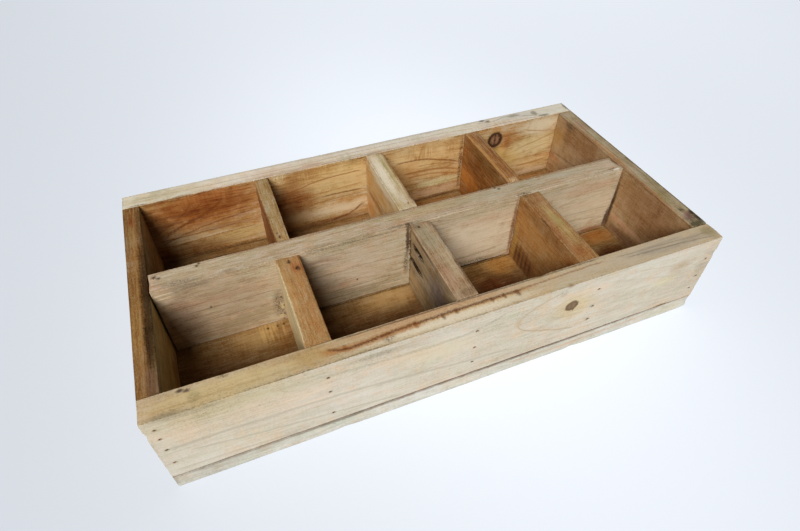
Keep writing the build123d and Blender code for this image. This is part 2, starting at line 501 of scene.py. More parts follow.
def veinShare(tree, at, mark):
    # The drawn line is a curve that gives "across" for every "along"
    alongs = [point[0] for point in mark["line"]]
    acrosses = [point[1] for point in mark["line"]]
    start, end = alongs[0], alongs[-1]
    low, high = min(acrosses) - 1.0, max(acrosses) + 1.0
    axis = next(each for each in "xyz" if each not in (at["grainAxis"], mark["face"][1]))
    along, across = at["parts"]["xyz".index(at["grainAxis"])], at["parts"]["xyz".index(axis)]
    inputs = {"Value": along, "From Min": start, "From Max": end}
    curve = put(tree, "ShaderNodeFloatCurve", {"Value": put(tree, "ShaderNodeMapRange", inputs).outputs[0]})
    bends = curve.mapping.curves[0].points
    for _ in mark["line"][2:]:
        bends.new(0.5, 0.5)
    for bend, point in zip(bends, mark["line"]):
        bend.location = (point[0] - start) / (end - start), (point[1] - low) / (high - low)
    curve.mapping.update()
    drawn = sums(tree, "MULTIPLY_ADD", curve.outputs[0], high - low, low)
    swayed = sums(tree, "MULTIPLY_ADD", at["sway"], mark["fray"], across)
    off = sums(tree, "ABSOLUTE", sums(tree, "SUBTRACT", swayed, drawn))
    share = stepBetween(tree, off, mark["width"], mark["width"] * (1 - mark["soft"]), 0.0, mark["strength"])
    for tip, inward in ((start, mark["ends"]), (end, -mark["ends"])):
        share = sums(tree, "MULTIPLY", share, stepBetween(tree, along, tip, tip + inward))
    if mark["broken"]:
        gaps = stepBetween(tree, at["dots"], 0.42, 0.56, 1.0 - mark["broken"], 1.0)
        share = sums(tree, "MULTIPLY", share, gaps)
    return sums(tree, "MULTIPLY", share, facing(tree, at, mark["face"]))


def growth(tree, look):
    # Where a point lies in the tree: along the grain, and how far from the pith
    source = put(tree, "ShaderNodeTexCoord").outputs
    place = inMillimetres(tree, source["Object"])
    parts = apart(tree, place)
    grain = place
    if look["grain"] == "y":
        grain = put(tree, "ShaderNodeCombineXYZ", {"X": parts[1], "Y": parts[0], "Z": parts[2]}).outputs[0]
    wander = woodNoise(tree, look, grain, "wander", "Color")
    ripple = woodNoise(tree, look, grain, "ripple", "Color")
    bent = vectors(tree, "MULTIPLY_ADD", wander, (0, look["wander"], look["wander"]), grain)
    bent = vectors(tree, "MULTIPLY_ADD", ripple, (0, look["ripple"], look["ripple"]), bent)
    along, across, upward = apart(tree, bent)
    pith, lean = look["pith"], look["lean"]
    across = sums(tree, "SUBTRACT", sums(tree, "MULTIPLY_ADD", along, lean[0], across), pith[0])
    upward = sums(tree, "SUBTRACT", sums(tree, "MULTIPLY_ADD", along, lean[1], upward), pith[1])
    flat = put(tree, "ShaderNodeCombineXYZ", {"X": across, "Y": upward}).outputs[0]
    distance = vectors(tree, "LENGTH", flat, output=1)

    at = {"grainAxis": look["grain"], "place": place, "grain": grain, "bent": bent, "facing": {}}
    at["normal"] = apart(tree, source["Normal"])
    coarse = woodNoise(tree, look, place, "coarse", "Color")
    close = woodNoise(tree, look, place, "close", "Color")
    at["dots"] = woodNoise(tree, look, bent, "dots")
    at["loose"] = vectors(tree, "SUBTRACT", coarse, (0.5, 0.5, 0.5))
    at["close"] = vectors(tree, "SUBTRACT", close, (0.5, 0.5, 0.5))
    at["parts"] = apart(tree, vectors(tree, "MULTIPLY_ADD", at["loose"], (1.6, 1.6, 1.6), place))
    at["sway"] = apart(tree, close)[2]
    at["patchy"] = apart(tree, coarse)
    return at, distance


def ringsOf(tree, look, at, distance):
    # Dark late wood that comes once in a ring and swells round the knots. Each ring has its own strength.
    at["knotOvals"] = []
    for mark in look["knots"]:
        oval = ovalOf(tree, vectors(tree, "MULTIPLY_ADD", at["close"], (2.2, 2.2, 2.2), at["place"]), mark)
        wide = sums(tree, "DIVIDE", oval, mark["reach"])
        swell = sums(tree, "EXPONENT", sums(tree, "MULTIPLY", sums(tree, "MULTIPLY", wide, wide), -1.0))
        distance = sums(tree, "MULTIPLY_ADD", swell, mark["rise"], distance)
        at["knotOvals"].append((mark, oval))
    uneven = noiseOn(tree, distance, 0.11, 1.0)
    turns = sums(tree, "MULTIPLY_ADD", uneven, 2.2, sums(tree, "DIVIDE", distance, look["ringGap"]))
    stops = [(position, (shade, shade, shade, 1)) for position, shade in ringStops]
    ring = ramp(tree, sums(tree, "FRACT", turns), stops)
    fade = noiseOn(tree, sums(tree, "FLOOR", turns), 1.37, 0.0)
    return sums(tree, "MULTIPLY", ring, stepBetween(tree, fade, 0.3, 0.75, 0.15, 1.0))


def soundWood(tree, look, at):
    # Rings, fibres, longer streaks along the grain and saw marks across it
    for name, place in (("fibre", "bent"), ("streak", "bent"), ("weather", "bent"), ("broad", "place"),
                        ("saw", "bent")):
        at[name] = woodNoise(tree, look, at[place], name)
    tone = sums(tree, "MULTIPLY_ADD", at["ring"], look["ringTone"], 0.4 - look["ringTone"] * 0.3)
    for part, share in ((at["fibre"], "fibreTone"), (at["streak"], "streakTone"), (at["broad"], "broadTone"),
                        (at["saw"], "sawn"), (at["dots"], "grit"), (at["patchy"][0], "blotch")):
        tone = sums(tree, "MULTIPLY_ADD", sums(tree, "SUBTRACT", part, 0.5), look[share], tone)
    at["tone"] = tone
    colour = ramp(tree, tone, list(zip(shadeStops, shades(look["colour"], look["contrast"]))))
    for side, shade in look["faces"].items():
        own = ramp(tree, tone, list(zip(shadeStops, shades(shade, look["contrast"]))))
        colour = blended(tree, facing(tree, at, side), colour, own)
    return colour


def weathered(tree, look, at, colour):
    # Warm and cool drifts, then grey grime
    drift = woodNoise(tree, look, at["grain"], "drift")
    for tint, low, high in ((look["warm"], 0.52, 0.72), (look["cool"], 0.48, 0.28)):
        for part in (drift, at["patchy"][1]):
            share = stepBetween(tree, part, low, high, 0.0, look["drift"])
            colour = blended(tree, share, colour, (*tint, 1.0), "MULTIPLY")
    grime = stepBetween(tree, at["weather"], 0.5, 0.72, 0.0, look["grime"])
    return blended(tree, grime, colour, (*look["grimeTint"], 1.0), "MULTIPLY")


def marked(tree, look, at, colour):
    # The patches and the drawn lines
    for mark in look["stains"]:
        dark = blended(tree, stepBetween(tree, at["tone"], 0.3, 0.75), rgb(*mark["colour"]),
                       shades(mark["colour"], look["contrast"])[2])
        colour = blended(tree, stainShare(tree, at, mark), colour, dark)
    for mark in look["veins"]:
        colour = blended(tree, veinShare(tree, at, mark), colour, rgb(*mark["colour"]))
    return colour


def knotted(tree, at, colour):
    # Knots: dark rim, brown heart with its own rings and a split
    for mark, oval in at["knotOvals"]:
        heart, rim = rgb(*mark["colour"]), rgb(*mark["rim"])
        rings = sums(tree, "SINE", sums(tree, "MULTIPLY", oval, 14.0))
        heart = blended(tree, stepBetween(tree, rings, -1.0, 1.0, 0.0, 0.3), heart, rim)
        heart = blended(tree, stepBetween(tree, at["dots"], 0.52, 0.66, 0.0, 0.5), heart, rim)
        aside = sums(tree, "SUBTRACT", at["parts"][0], mark["middle"][0] + 0.8)
        aside = sums(tree, "ABSOLUTE", sums(tree, "MULTIPLY_ADD", at["sway"], 2.0, aside))
        heart = blended(tree, stepBetween(tree, aside, 1.8, 0.2, 0.0, mark["split"]), heart, rim)
        uneasy = sums(tree, "MULTIPLY_ADD", at["sway"], 0.5, oval)
        colour = blended(tree, stepBetween(tree, oval, 1.22, 0.94, 0.0, 0.95), colour, rim)
        colour = blended(tree, stepBetween(tree, uneasy, 0.96, 0.82), colour, heart)
    return colour


def endGrained(tree, look, at, colour):
    # End grain is darker and drinks in dirt
    face = at["normal"]["xyz".index(look["grain"])]
    share = stepBetween(tree, sums(tree, "ABSOLUTE", face), 0.55, 0.9)
    pores = woodNoise(tree, look, at["grain"], "pores")
    shade = blended(tree, pores, rgb(*look["endDark"]), rgb(*look["endPale"]))
    return blended(tree, share, colour, blended(tree, 1.0, colour, shade, "MULTIPLY"))


def rusted(tree, look, at, colour):
    # A little rust stains the wood beside each nail, further along the grain than across it
    squeeze = (0.6, 1, 1) if look["grain"] == "x" else (1, 0.6, 1)
    nearest = None
    squeezed = vectors(tree, "MULTIPLY", at["place"], squeeze)
    for spot in look["nails"]:
        point = tuple(float(round(part * share, 1)) for part, share in zip(spot, squeeze))
        away = vectors(tree, "DISTANCE", squeezed, point, output=1)
        nearest = away if nearest is None else sums(tree, "MINIMUM", nearest, away)
    uneasy = sums(tree, "MULTIPLY_ADD", at["fibre"], 1.2, nearest)
    share = stepBetween(tree, uneasy, look["rustReach"], 1.5, 0.0, look["rust"])
    return blended(tree, share, colour, rgb(*look["rustColour"]))


def dirtied(tree, look, at, colour):
    # Specks of dirt, and more of it in the worn edges
    specks = sums(tree, "MULTIPLY_ADD", at["broad"], 0.3, at["dots"])
    specks = stepBetween(tree, specks, 0.82, 0.9, 0.0, look["specks"])
    colour = blended(tree, specks, colour, rgb(*look["speckColour"]))
    edge = put(tree, "ShaderNodeAttribute", attribute_name="edgeNear").outputs["Fac"]
    dirt = sums(tree, "MULTIPLY", edge, stepBetween(tree, at["dots"], 0.38, 0.62, 0.1, 1.0))
    return blended(tree, sums(tree, "MULTIPLY", dirt, look["edgeDirt"]), colour, rgb(*look["dirtColour"]))


def timber(name, look):
    # Sawn softwood in three dimensions, worked out from the inside of the tree to the dirt on top
    material = bpy.data.materials.new(name)
    material.use_nodes = True
    tree = material.node_tree
    at, distance = growth(tree, look)
    at["ring"] = ringsOf(tree, look, at, distance)
    colour = soundWood(tree, look, at)
    colour = weathered(tree, look, at, colour)
    colour = marked(tree, look, at, colour)
    colour = knotted(tree, at, colour)
    colour = endGrained(tree, look, at, colour)
    if look["nails"]:
        colour = rusted(tree, look, at, colour)
    colour = dirtied(tree, look, at, colour)

    height = sums(tree, "MULTIPLY_ADD", at["ring"], 0.3, sums(tree, "MULTIPLY", at["fibre"], 0.9))
    height = sums(tree, "MULTIPLY_ADD", at["saw"], 0.25 + look["sawn"] * 1.5, height)
    bump = put(tree, "ShaderNodeBump", {"Height": height, "Strength": look["bump"], "Distance": 0.4 * mm})
    shader = tree.nodes["Principled BSDF"]
    tree.links.new(bump.outputs[0], shader.inputs["Normal"])
    tree.links.new(colour, shader.inputs["Base Color"])
    tree.links.new(stepBetween(tree, at["fibre"], 0.3, 0.7, 0.66, 0.84), shader.inputs["Roughness"])
    shader.inputs["Specular IOR Level"].default_value = look["shine"]
    return material


sawn = {
    "step": (2.0, 2.6),             # mesh step across and along the grain
    "leastWear": 0.3,
    "wearPeriod": (9.0, 30.0),      # across and along the grain too
    "hollow": 0.22,
    "hollowPeriod": (26.0, 120.0),
    "pit": 0.1,
    "pitPeriod": (7.0, 7.0, 7.0),
    "edgeReach": 1.6,               # how far dirt reaches from an edge
}


def board(node, look, shape=None, fine=None, cutters=()):
    # A timber board in the space of its CAD node
    look = {**plainLook, **look}
    low, high = corners(node)
    seed = int(look["seed"] * 10)

    def perAxis(key):
        across, along = sawn[key]
        return [along if axis == look["grain"] else across for axis in "xyz"]

    lines = [gridLines(low[axis], high[axis], step, *(fine or {}).get(axis, ()))
             for axis, step in enumerate(perAxis("step"))]
    flat, quads = skinOfBox(lines)
    wear = sawn["leastWear"] + look["wear"] * softNoise(flat, perAxis("wearPeriod"), seed)[:, None] ** 2
    points, normal = wearEdges(flat, low, high, wear)
    hollow = sawn["hollow"] * softNoise(flat, perAxis("hollowPeriod"), seed + 1)
    hollow = hollow + sawn["pit"] * softNoise(flat, sawn["pitPeriod"], seed + 2)
    points = points - normal * hollow[:, None]
    points = knockEdges(points, low, high, seed + 3, look["knocks"])
    if shape:
        points = shape(points, low, high)
    points = np.clip(points, low, high)
    piece = meshFrom(node + "_pine", points, quads)
    holes = nailHoles(low, high) + list(cutters)
    if holes:
        cutAway(piece, meshFrom("cutter", *joined(holes)))
    spots = np.array([vertex.co[:] for vertex in piece.data.vertices]) / mm
    inside = np.sort(np.minimum(spots - low, high - spots), axis=1)[:, 1]
    edgeNear = piece.data.attributes.new("edgeNear", "FLOAT", "POINT")
    edgeNear.data.foreach_set("value", np.exp(-inside / sawn["edgeReach"]).astype(np.float32))
    smoothShade(piece)
    look["nails"] = [head for head, axis, length in everyNail
                     if np.any(np.abs(np.concatenate([head - low, high - head])) < 1.8)
                     and np.all((head > low - 1) & (head < high + 1))]
    look["stains"] = laidOn(look["stains"], low, high)
    look["veins"] = laidOn(look["veins"], low, high)
    piece.data.materials.clear()
    piece.data.materials.append(timber(node + "_timber", look))
    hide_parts(node)
    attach(piece, "root")
    print("board done:", node, len(piece.data.polygons), "faces")


# Front wall: pale sapwood with one small knot near its right end

frontWallLook = {
    "grain": "x", "slot": "pale_pine", "seed": 1.1, "contrast": 0.75,
    "colour": (198, 188, 170),
    "faces": {"+z": (202, 181, 148), "+y": (180, 146, 100)},
    "pith": (-42.0, -60.0), "lean": (0.02, 0.04), "ringGap": 7.0, "ringTone": 0.1,
    "streakTone": 0.5, "fibreTone": 0.8, "broadTone": 0.7, "blotch": 0.25, "sawn": 0.22, "edgeDirt": 0.2,
    "grime": 0.2, "rust": 0.3, "rustReach": 2.2,
    "stains": {"-y": [
        stain((190, 176, 138), (-192, 86), (76, 16), 0.6, soft=0.8),
        stain((204, 188, 158), (-200, 66), (60, 14), 0.4, "saw"),
        stain((206, 188, 166), (-172, 70), (36, 12), 0.4),
        stain((206, 190, 156), (-30, 66), (40, 14), 0.4),
        stain((178, 158, 128), (212, 72), (11, 10), 0.65, soft=0.9),
        stain((172, 164, 146), (242, 66), (9, 34), 0.55, "streak"),
        stain((190, 180, 158), (226, 84), (14, 7), 0.4, soft=0.9),
        stain((200, 188, 142), (200, 58), (16, 8), 0.4),
        stain((204, 182, 136), (98, 66), (24, 19), 0.6, soft=0.8),
        stain((196, 168, 134), (43, 66), (4, 7), 0.6, soft=0.9),
        stain((136, 124, 104), (83, 88), (4.5, 4.5), 0.7, "dots", soft=0.9, thick=2.5),
        stain((140, 134, 114), (-82, 88.5), (30, 3.4), 0.75, "dots"),
        stain((146, 134, 104), (-214, 93), (32, 4), 0.65, "dots"),
        stain((146, 152, 150), (119, 57), (3.4, 3), 0.6, soft=0.9, thick=2),
        stain((158, 148, 128), (119, 38), (3.4, 3), 0.5, soft=0.9, thick=2),
        stain((150, 122, 92), (88, 95.5), (4, 2.2), 0.7, soft=0.8),
        stain((92, 72, 54), (98, 62), (1.0, 3.4), 0.8, turn=30, thick=2),
        stain((216, 186, 156), (-227, 72), (15, 15), 0.55, "dots"),
        stain((219, 194, 168), (-142, 62), (34, 13), 0.45, "streak"),
        stain((212, 184, 150), (-62, 74), (28, 9), 0.4, "streak"),
        stain((196, 178, 146), (-186, 40), (40, 12), 0.4, "saw"),
    ], "+z": [
        stain((212, 194, 148), (-190, -120), (62, 10), 0.6),
        stain((78, 58, 52), (-221.4, -111.6), (3, 1.8), 0.85, soft=0.8, thick=2),
        stain((82, 62, 54), (-217, -113.2), (2.8, 1.8), 0.8, soft=0.8, thick=2),
        stain((140, 126, 88), (-213, -119), (5, 7), 0.6, "dots"),
        stain((104, 90, 66), (-192, -110.6), (5, 1.8), 0.7, "dots", thick=2),
        stain((194, 162, 104), (-128, -117), (20, 9), 0.6),
        stain((224, 190, 126), (4, -119.6), (66, 2.4), 0.5, "dots"),
        stain((234, 222, 198), (-16, -123.6), (84, 4.8), 0.85),
        stain((216, 188, 152), (-30, -113), (92, 3.4), 0.8),
        stain((170, 120, 78), (-30, -112.6), (92, 3.4), 0.55, "dots"),
        stain((112, 92, 74), (-71, -122), (6, 5), 0.75, "dots"),
        stain((202, 187, 163), (166, -119), (98, 10), 0.8),
        stain((156, 146, 132), (196, -118), (56, 8), 0.55, "streak"),
        stain((146, 134, 94), (243, -119), (8, 10), 0.5),
        stain((132, 122, 98), (-234, -127), (13, 3), 0.5, soft=0.9),
    ] + [
        stain((108, 66, 36), (x, y), (reach, reach + 1.4), 0.8, soft=0.9, thick=2)
        for x, y, reach in ((43, -119, 2.6), (31, -117.6, 2.0), (20, -117.6, 1.6), (-12, -117.6, 1.8),
                            (-24, -119, 2.0), (-47, -118.4, 2.2), (-104, -119.4, 2.2))
    ]},
    "veins": {"+z": [
        vein((92, 58, 32), [(-112, -109.7), (0, -109.5), (134, -109.6)], 1.3, 0.65, broken=0.3, ends=16),
        vein((180, 120, 62), [(-128, -112.6), (-104, -118.5), (-60, -117), (-34, -116.6)], 4.8, 0.75,
             broken=0.3, fray=3, ends=14),
        vein((188, 140, 94), [(-40, -116.6), (0, -116), (66, -116)], 2.6, 0.5, broken=0.5, fray=3, ends=10),
        vein((100, 60, 30),
             [(-119, -112.5), (-112, -117), (-102, -119.2), (-60, -116.6), (0, -115.6), (50, -115.6)], 2.3,
             0.85, soft=0.95, fray=2.4, ends=6, broken=0.4),
        vein((150, 106, 68), [(40, -115.4), (80, -114.4), (132, -113.4)], 1.4, 0.6, fray=2.4, broken=0.3),
        vein((126, 116, 104), [(150, -118), (200, -120), (246, -124)], 0.9, 0.6, broken=0.4),
        vein((146, 132, 116), [(140, -114), (190, -116), (246, -118)], 0.9, 0.6, broken=0.4),
        vein((118, 108, 84), [(-244, -128.4), (-200, -128.2), (-170, -128.6)], 2.0, 0.85, broken=0.7,
             fray=3),
        vein((124, 114, 86), [(-174, -128), (-120, -127.4), (-66, -127)], 1.5, 0.75, broken=0.6, fray=2.4),
        vein((182, 156, 112), [(-246, -122), (-180, -121), (-120, -123)], 1.6, 0.5, broken=0.4, fray=2.4),
        vein((214, 192, 146), [(-240, -116), (-190, -115), (-136, -117)], 2.2, 0.5, broken=0.4, fray=2.4),
        vein((156, 144, 120), [(-246, -128.6), (0, -128.4), (246, -128.6)], 1.5, 0.75, broken=0.3,
             fray=1.6),
    ], "-y": [
        vein((170, 162, 144), [(-248, 57), (-180, 55.5), (-120, 53), (-60, 46), (0, 38), (44, 34)], 2.4,
             0.55, soft=0.95),
        vein((172, 164, 146), [(-230, 47), (-180, 38), (-140, 32), (-100, 27), (-60, 21)], 1.8, 0.6,
             soft=0.95),
        vein((178, 168, 150), [(-248, 26), (-200, 24), (-146, 18)], 1.8, 0.55, soft=0.95),
        vein((158, 151, 130), [(-132, 84), (-100, 81), (-60, 78), (-28, 77), (0, 79), (18, 84), (32, 92)],
             2.8, 0.5, broken=0.5, soft=0.95, fray=2),
        vein((172, 154, 124), [(41, 66), (45, 73), (54, 80), (66, 86), (82, 91)], 2.0, 0.6, ends=3,
             broken=0.3, soft=0.95),
        vein((164, 146, 118), [(41, 66), (45, 60), (56, 52), (72, 45), (90, 38), (106, 34)], 1.8, 0.65,
             ends=3, broken=0.3, soft=0.95),
        vein((184, 164, 130), [(74, 66), (80, 74), (90, 78), (106, 78)], 1.0, 0.5, ends=3),
        vein((184, 164, 130), [(74, 66), (80, 59), (92, 55), (112, 54)], 1.0, 0.5, ends=3),
        vein((184, 176, 156), [(130, 84), (180, 70), (244, 51)], 1.8, 0.45, soft=0.95),
        vein((184, 176, 156), [(140, 60), (190, 48), (244, 36)], 1.8, 0.45, soft=0.95),
        vein((212, 202, 184), [(128, 74), (180, 62), (246, 45)], 2.6, 0.3, soft=0.95, broken=0.5),
        vein((182, 172, 150), [(112, 48), (170, 36), (236, 27)], 1.5, 0.5, soft=0.95, broken=0.3),
        vein((176, 160, 132), [(150, 88), (190, 80), (240, 66)], 1.2, 0.4, soft=0.95, broken=0.4),
        vein((92, 74, 56), [(-225, 17.8), (-120, 17.6), (60, 17.8), (249, 17.8)], 1.2, 0.75, ends=90,
             fray=1.0, broken=0.5),
    ]},
    "knots": [
        knot((95.5, -129, 67.5), (6.0, 7.0, 5.8), (138, 116, 88), rim=(112, 92, 68), rise=14, reach=4.5,
             split=0.6, turn=-12),
    ],
}
board("front_wall", frontWallLook)


# Back wall: honey coloured, with a loose knot in its right part

backWallLook = {
    "grain": "x", "slot": "honey_pine", "seed": 2.3, "contrast": 1.2,
    "colour": (196, 160, 110),
    "faces": {"-y": (190, 154, 103), "+z": (238, 230, 212)},
    "pith": (150.0, -30.0), "lean": (0.0, 0.05), "ringGap": 6.5, "ringTone": 0.15, "streakTone": 0.9,
    "sawn": 0.15, "fibreTone": 1.1, "ripple": 2.4, "broadTone": 0.8, "blotch": 0.6, "edgeDirt": 0.5,
    "stains": {"-y": [
        # first compartment from the left: rust brown above, olive below
        stain((169, 104, 42), (-182, 78), (68, 28), 0.85, soft=0.7),
        stain((122, 70, 36), (-206, 68), (34, 14), 0.6, "streak"),
        stain((196, 132, 76), (-170, 89), (46, 8), 0.6, "saw"),
        stain((120, 66, 34), (-170, 80), (46, 13), 0.5, "dots"),
        stain((156, 108, 60), (-172, 50), (62, 8), 0.6, "streak"),
        stain((204, 178, 128), (-148, 34), (42, 10), 0.85),
        stain((146, 108, 66), (-196, 28), (44, 11), 0.7),
        stain((112, 78, 46), (-180, 18.5), (62, 3), 0.6),
        # second: golden, with a cream band
        stain((217, 182, 126), (-60, 84), (52, 15), 0.7),
        stain((224, 200, 150), (-24, 84), (22, 11), 0.6),
        stain((236, 218, 176), (-101, 91), (8, 7), 0.75, "dots"),
        stain((146, 94, 46), (-90, 64), (24, 32), 0.6, soft=0.9),
        stain((166, 110, 56), (-78, 87), (18, 11), 0.4, "saw"),
        stain((158, 108, 62), (-88, 58), (24, 20), 0.7),
        stain((206, 184, 136), (-30, 64), (28, 9), 0.6),
        stain((223, 196, 146), (-40, 72), (44, 20), 0.6),
        stain((226, 208, 178), (-44, 35), (54, 10), 0.75, soft=0.85),
        stain((200, 166, 122), (-86, 33), (16, 9), 0.6),
        stain((146, 104, 64), (-60, 20), (58, 4.5), 0.75),
        # third: orange, with a cream band lower down
        stain((231, 201, 150), (60, 76), (56, 22), 0.85),
        stain((202, 156, 100), (38, 60), (22, 16), 0.6),
        stain((219, 188, 140), (74, 52), (40, 8), 0.7),
        stain((178, 118, 56), (92, 84), (9, 10), 0.3, "saw"),
        stain((228, 208, 170), (88, 95.5), (10, 3), 0.75),
        stain((176, 120, 58), (58, 84), (20, 14), 0.5, "saw"),
        stain((212, 200, 160), (80, 39), (32, 6.5), 0.9),
        stain((202, 172, 140), (76, 28), (38, 7), 0.85),
        stain((128, 96, 70), (80, 18.5), (40, 2.8), 0.7),
        stain((104, 64, 34), (107.2, 58), (2.6, 42), 0.95, "dots"),
        # fourth: the knot with its brown flame, cream beyond it
        stain((220, 188, 124), (168, 50), (34, 18), 0.75),
        stain((188, 134, 82), (167, 72), (10, 17), 0.75, soft=0.8),
        stain((226, 190, 122), (160, 60), (7, 12), 0.6),
        stain((227, 213, 185), (210, 84), (32, 15), 0.85),
        stain((221, 203, 160), (206, 59), (38, 17), 0.85),
        stain((218, 190, 143), (206, 34), (36, 9), 0.85),
        stain((214, 188, 156), (206, 22), (32, 5), 0.8),
    ], "+z": [
        # the top edge
        stain((202, 190, 148), (-215, 119), (44, 10), 0.55, soft=0.9),
        stain((104, 84, 56), (-236, 111), (9, 1.8), 0.7, "dots"),
        stain((224, 196, 174), (-110, 118), (24, 9), 0.5),
        stain((242, 238, 228), (20, 123), (84, 6), 0.7),
        stain((214, 198, 172), (0, 119), (250, 9), 0.55, "dots"),
        stain((224, 204, 186), (-60, 119), (190, 9), 0.45, "saw"),
        stain((198, 166, 134), (-60, 112.6), (130, 3), 0.6, "streak"),
        stain((186, 172, 148), (0, 127.2), (240, 2.4), 0.6, "dots"),
        stain((212, 186, 164), (150, 115), (50, 5), 0.5, "saw"),
        stain((176, 172, 130), (-28, 114), (9, 7), 0.6, "dots"),
        stain((188, 182, 148), (56, 120), (10, 6), 0.5, "dots"),
        stain((204, 172, 150), (-64, 114), (14, 4), 0.5),
        stain((146, 116, 88), (2, 111), (11, 2.2), 0.5, "dots"),
        stain((214, 184, 164), (70, 113), (34, 3.4), 0.55),
        stain((206, 202, 192), (196, 120), (56, 9), 0.5, "streak"),
        stain((96, 88, 78), (140, 127), (4, 2.4), 0.8, soft=0.9, thick=2.2),
        stain((96, 88, 78), (146, 123.6), (3.6, 2.8), 0.8, soft=0.9, thick=2.2),
        stain((156, 148, 134), (180, 124), (9, 3.4), 0.6),
        stain((136, 130, 116), (206, 121), (4.5, 5.5), 0.65),
        stain((116, 108, 92), (215, 112.6), (7, 2.6), 0.6),
        stain((108, 102, 90), (249, 119), (2.4, 10), 0.6),
    ]},
    "veins": {"-y": [
        vein((118, 64, 30), [(-228, 49), (-214, 57), (-190, 67), (-172, 75), (-157, 88)], 2.6, 0.7,
             fray=2.6, broken=0.5, soft=0.95),
        vein((118, 66, 34), [(-230, 43), (-205, 50), (-180, 56), (-150, 60), (-130, 62)], 1.5, 0.65,
             fray=1.6, broken=0.4),
        vein((122, 68, 32), [(-230, 52), (-210, 60), (-186, 68), (-160, 73), (-130, 76)], 2.0, 0.6,
             fray=2.6, broken=0.5, soft=0.95),
        vein((116, 62, 32), [(-232, 58), (-212, 68), (-196, 80), (-187, 95)], 2.6, 0.5, fray=3, broken=0.6,
             soft=0.95),
        vein((126, 68, 34), [(-206, 70), (-186, 80), (-172, 94)], 1.6, 0.6, fray=3, broken=0.4),
        vein((108, 62, 34), [(-232, 47), (-200, 47.6), (-150, 49)], 0.9, 0.7, broken=0.3),
        vein((132, 74, 38), [(-200, 62), (-170, 66), (-132, 67)], 1.2, 0.6, broken=0.3),
        vein((136, 84, 46), [(-224, 36), (-180, 40), (-130, 41)], 1.1, 0.6, broken=0.3),
        vein((156, 96, 48), [(-98, 70), (-80, 74), (-60, 78.4), (-34, 80), (-10, 80)], 1.2, 0.75,
             broken=0.2),
        vein((172, 108, 52), [(-104, 60), (-70, 62), (-30, 63), (-10, 64)], 1.2, 0.55, broken=0.3),
        vein((136, 96, 46), [(-62, 56), (-40, 56.4), (-11, 55.4)], 1.4, 0.75),
        vein((148, 108, 56), [(-70, 49), (-36, 50.6), (-11, 50)], 1.0, 0.6),
        vein((116, 64, 32), [(-54, 22), (-38, 23), (-26, 27), (-16, 33), (-9, 36)], 2.2, 0.8, ends=8,
             broken=0.4, fray=2),
        vein((142, 88, 36), [(24, 76), (44, 76.6), (62, 74.6), (84, 69), (107, 61)], 1.8, 0.75, fray=1.8,
             soft=0.95),
        vein((158, 102, 44), [(34, 60), (60, 60), (80, 58), (107, 50)], 2.2, 0.65, fray=2, soft=0.95),
        vein((164, 108, 48), [(38, 54), (64, 54), (84, 51), (107, 45)], 2.0, 0.6, fray=2, soft=0.95),
        vein((160, 104, 44), [(50, 67), (74, 66), (107, 56)], 0.8, 0.55, fray=1.6),
        vein((178, 140, 92), [(186, 85), (200, 80.6), (215, 77.4), (233, 75)], 1.4, 0.6),
        vein((182, 142, 92), [(178, 58), (196, 62), (214, 66), (233, 71)], 1.3, 0.6),
        vein((190, 152, 102), [(180, 50), (204, 54), (233, 60)], 1.2, 0.55),
        vein((166, 116, 60), [(182, 34), (205, 34), (233, 37)], 1.6, 0.65),
        vein((176, 128, 72), [(176, 43), (204, 44), (233, 47)], 1.1, 0.5),
    ], "+z": [
        vein((142, 118, 92), [(-245, 121), (-120, 119), (0, 121), (120, 117)], 0.8, 0.45, broken=0.5),
        vein((150, 108, 80), [(126, 112.6), (170, 114.4), (214, 111.6)], 0.7, 0.6, broken=0.4),
        vein((160, 124, 96), [(-60, 111), (-10, 112.4), (40, 111)], 0.7, 0.5, broken=0.5),
        vein((120, 112, 98), [(128, 128), (150, 123), (172, 126), (190, 121), (222, 112)], 1.0, 0.55,
             broken=0.5, fray=2.5),
    ]},
    "knots": [
        knot((150.5, 109.5, 78.5), (9.0, 8.0, 9.6), (164, 126, 95), rim=(76, 50, 34), rise=12, reach=2.8,
             split=0.7),
    ],
}
board("back_wall", backWallLook)


# Left end wall: dark, with wane along its upper inner edge

wane = {
    "width": 8.5,
    "drop": 5.5,
    "rough": 0.35,
    "roughPeriod": (2.5, 9, 2.5),
}


def cutWane(points, low, high):
    # Lays everything above the bark line onto it. The line runs to a point at the back.
    share = np.clip((high[1] - points[:, 1]) / (high[1] - low[1]), 0.0001, 1)
    width, drop = wane["width"] * share, wane["drop"] * share
    over = (points[:, 0] - (high[0] - width)) / width + (points[:, 2] - (high[2] - drop)) / drop - 1
    slope = np.stack([1 / width, np.zeros(len(points)), 1 / drop], axis=1)
    steep = np.linalg.norm(slope, axis=1)
    rough = wane["rough"] * softNoise(points, wane["roughPeriod"], 41) * share
    deep = np.maximum(over / steep + rough, 0) * (over > 0)
    return points - slope / steep[:, None] * deep[:, None]


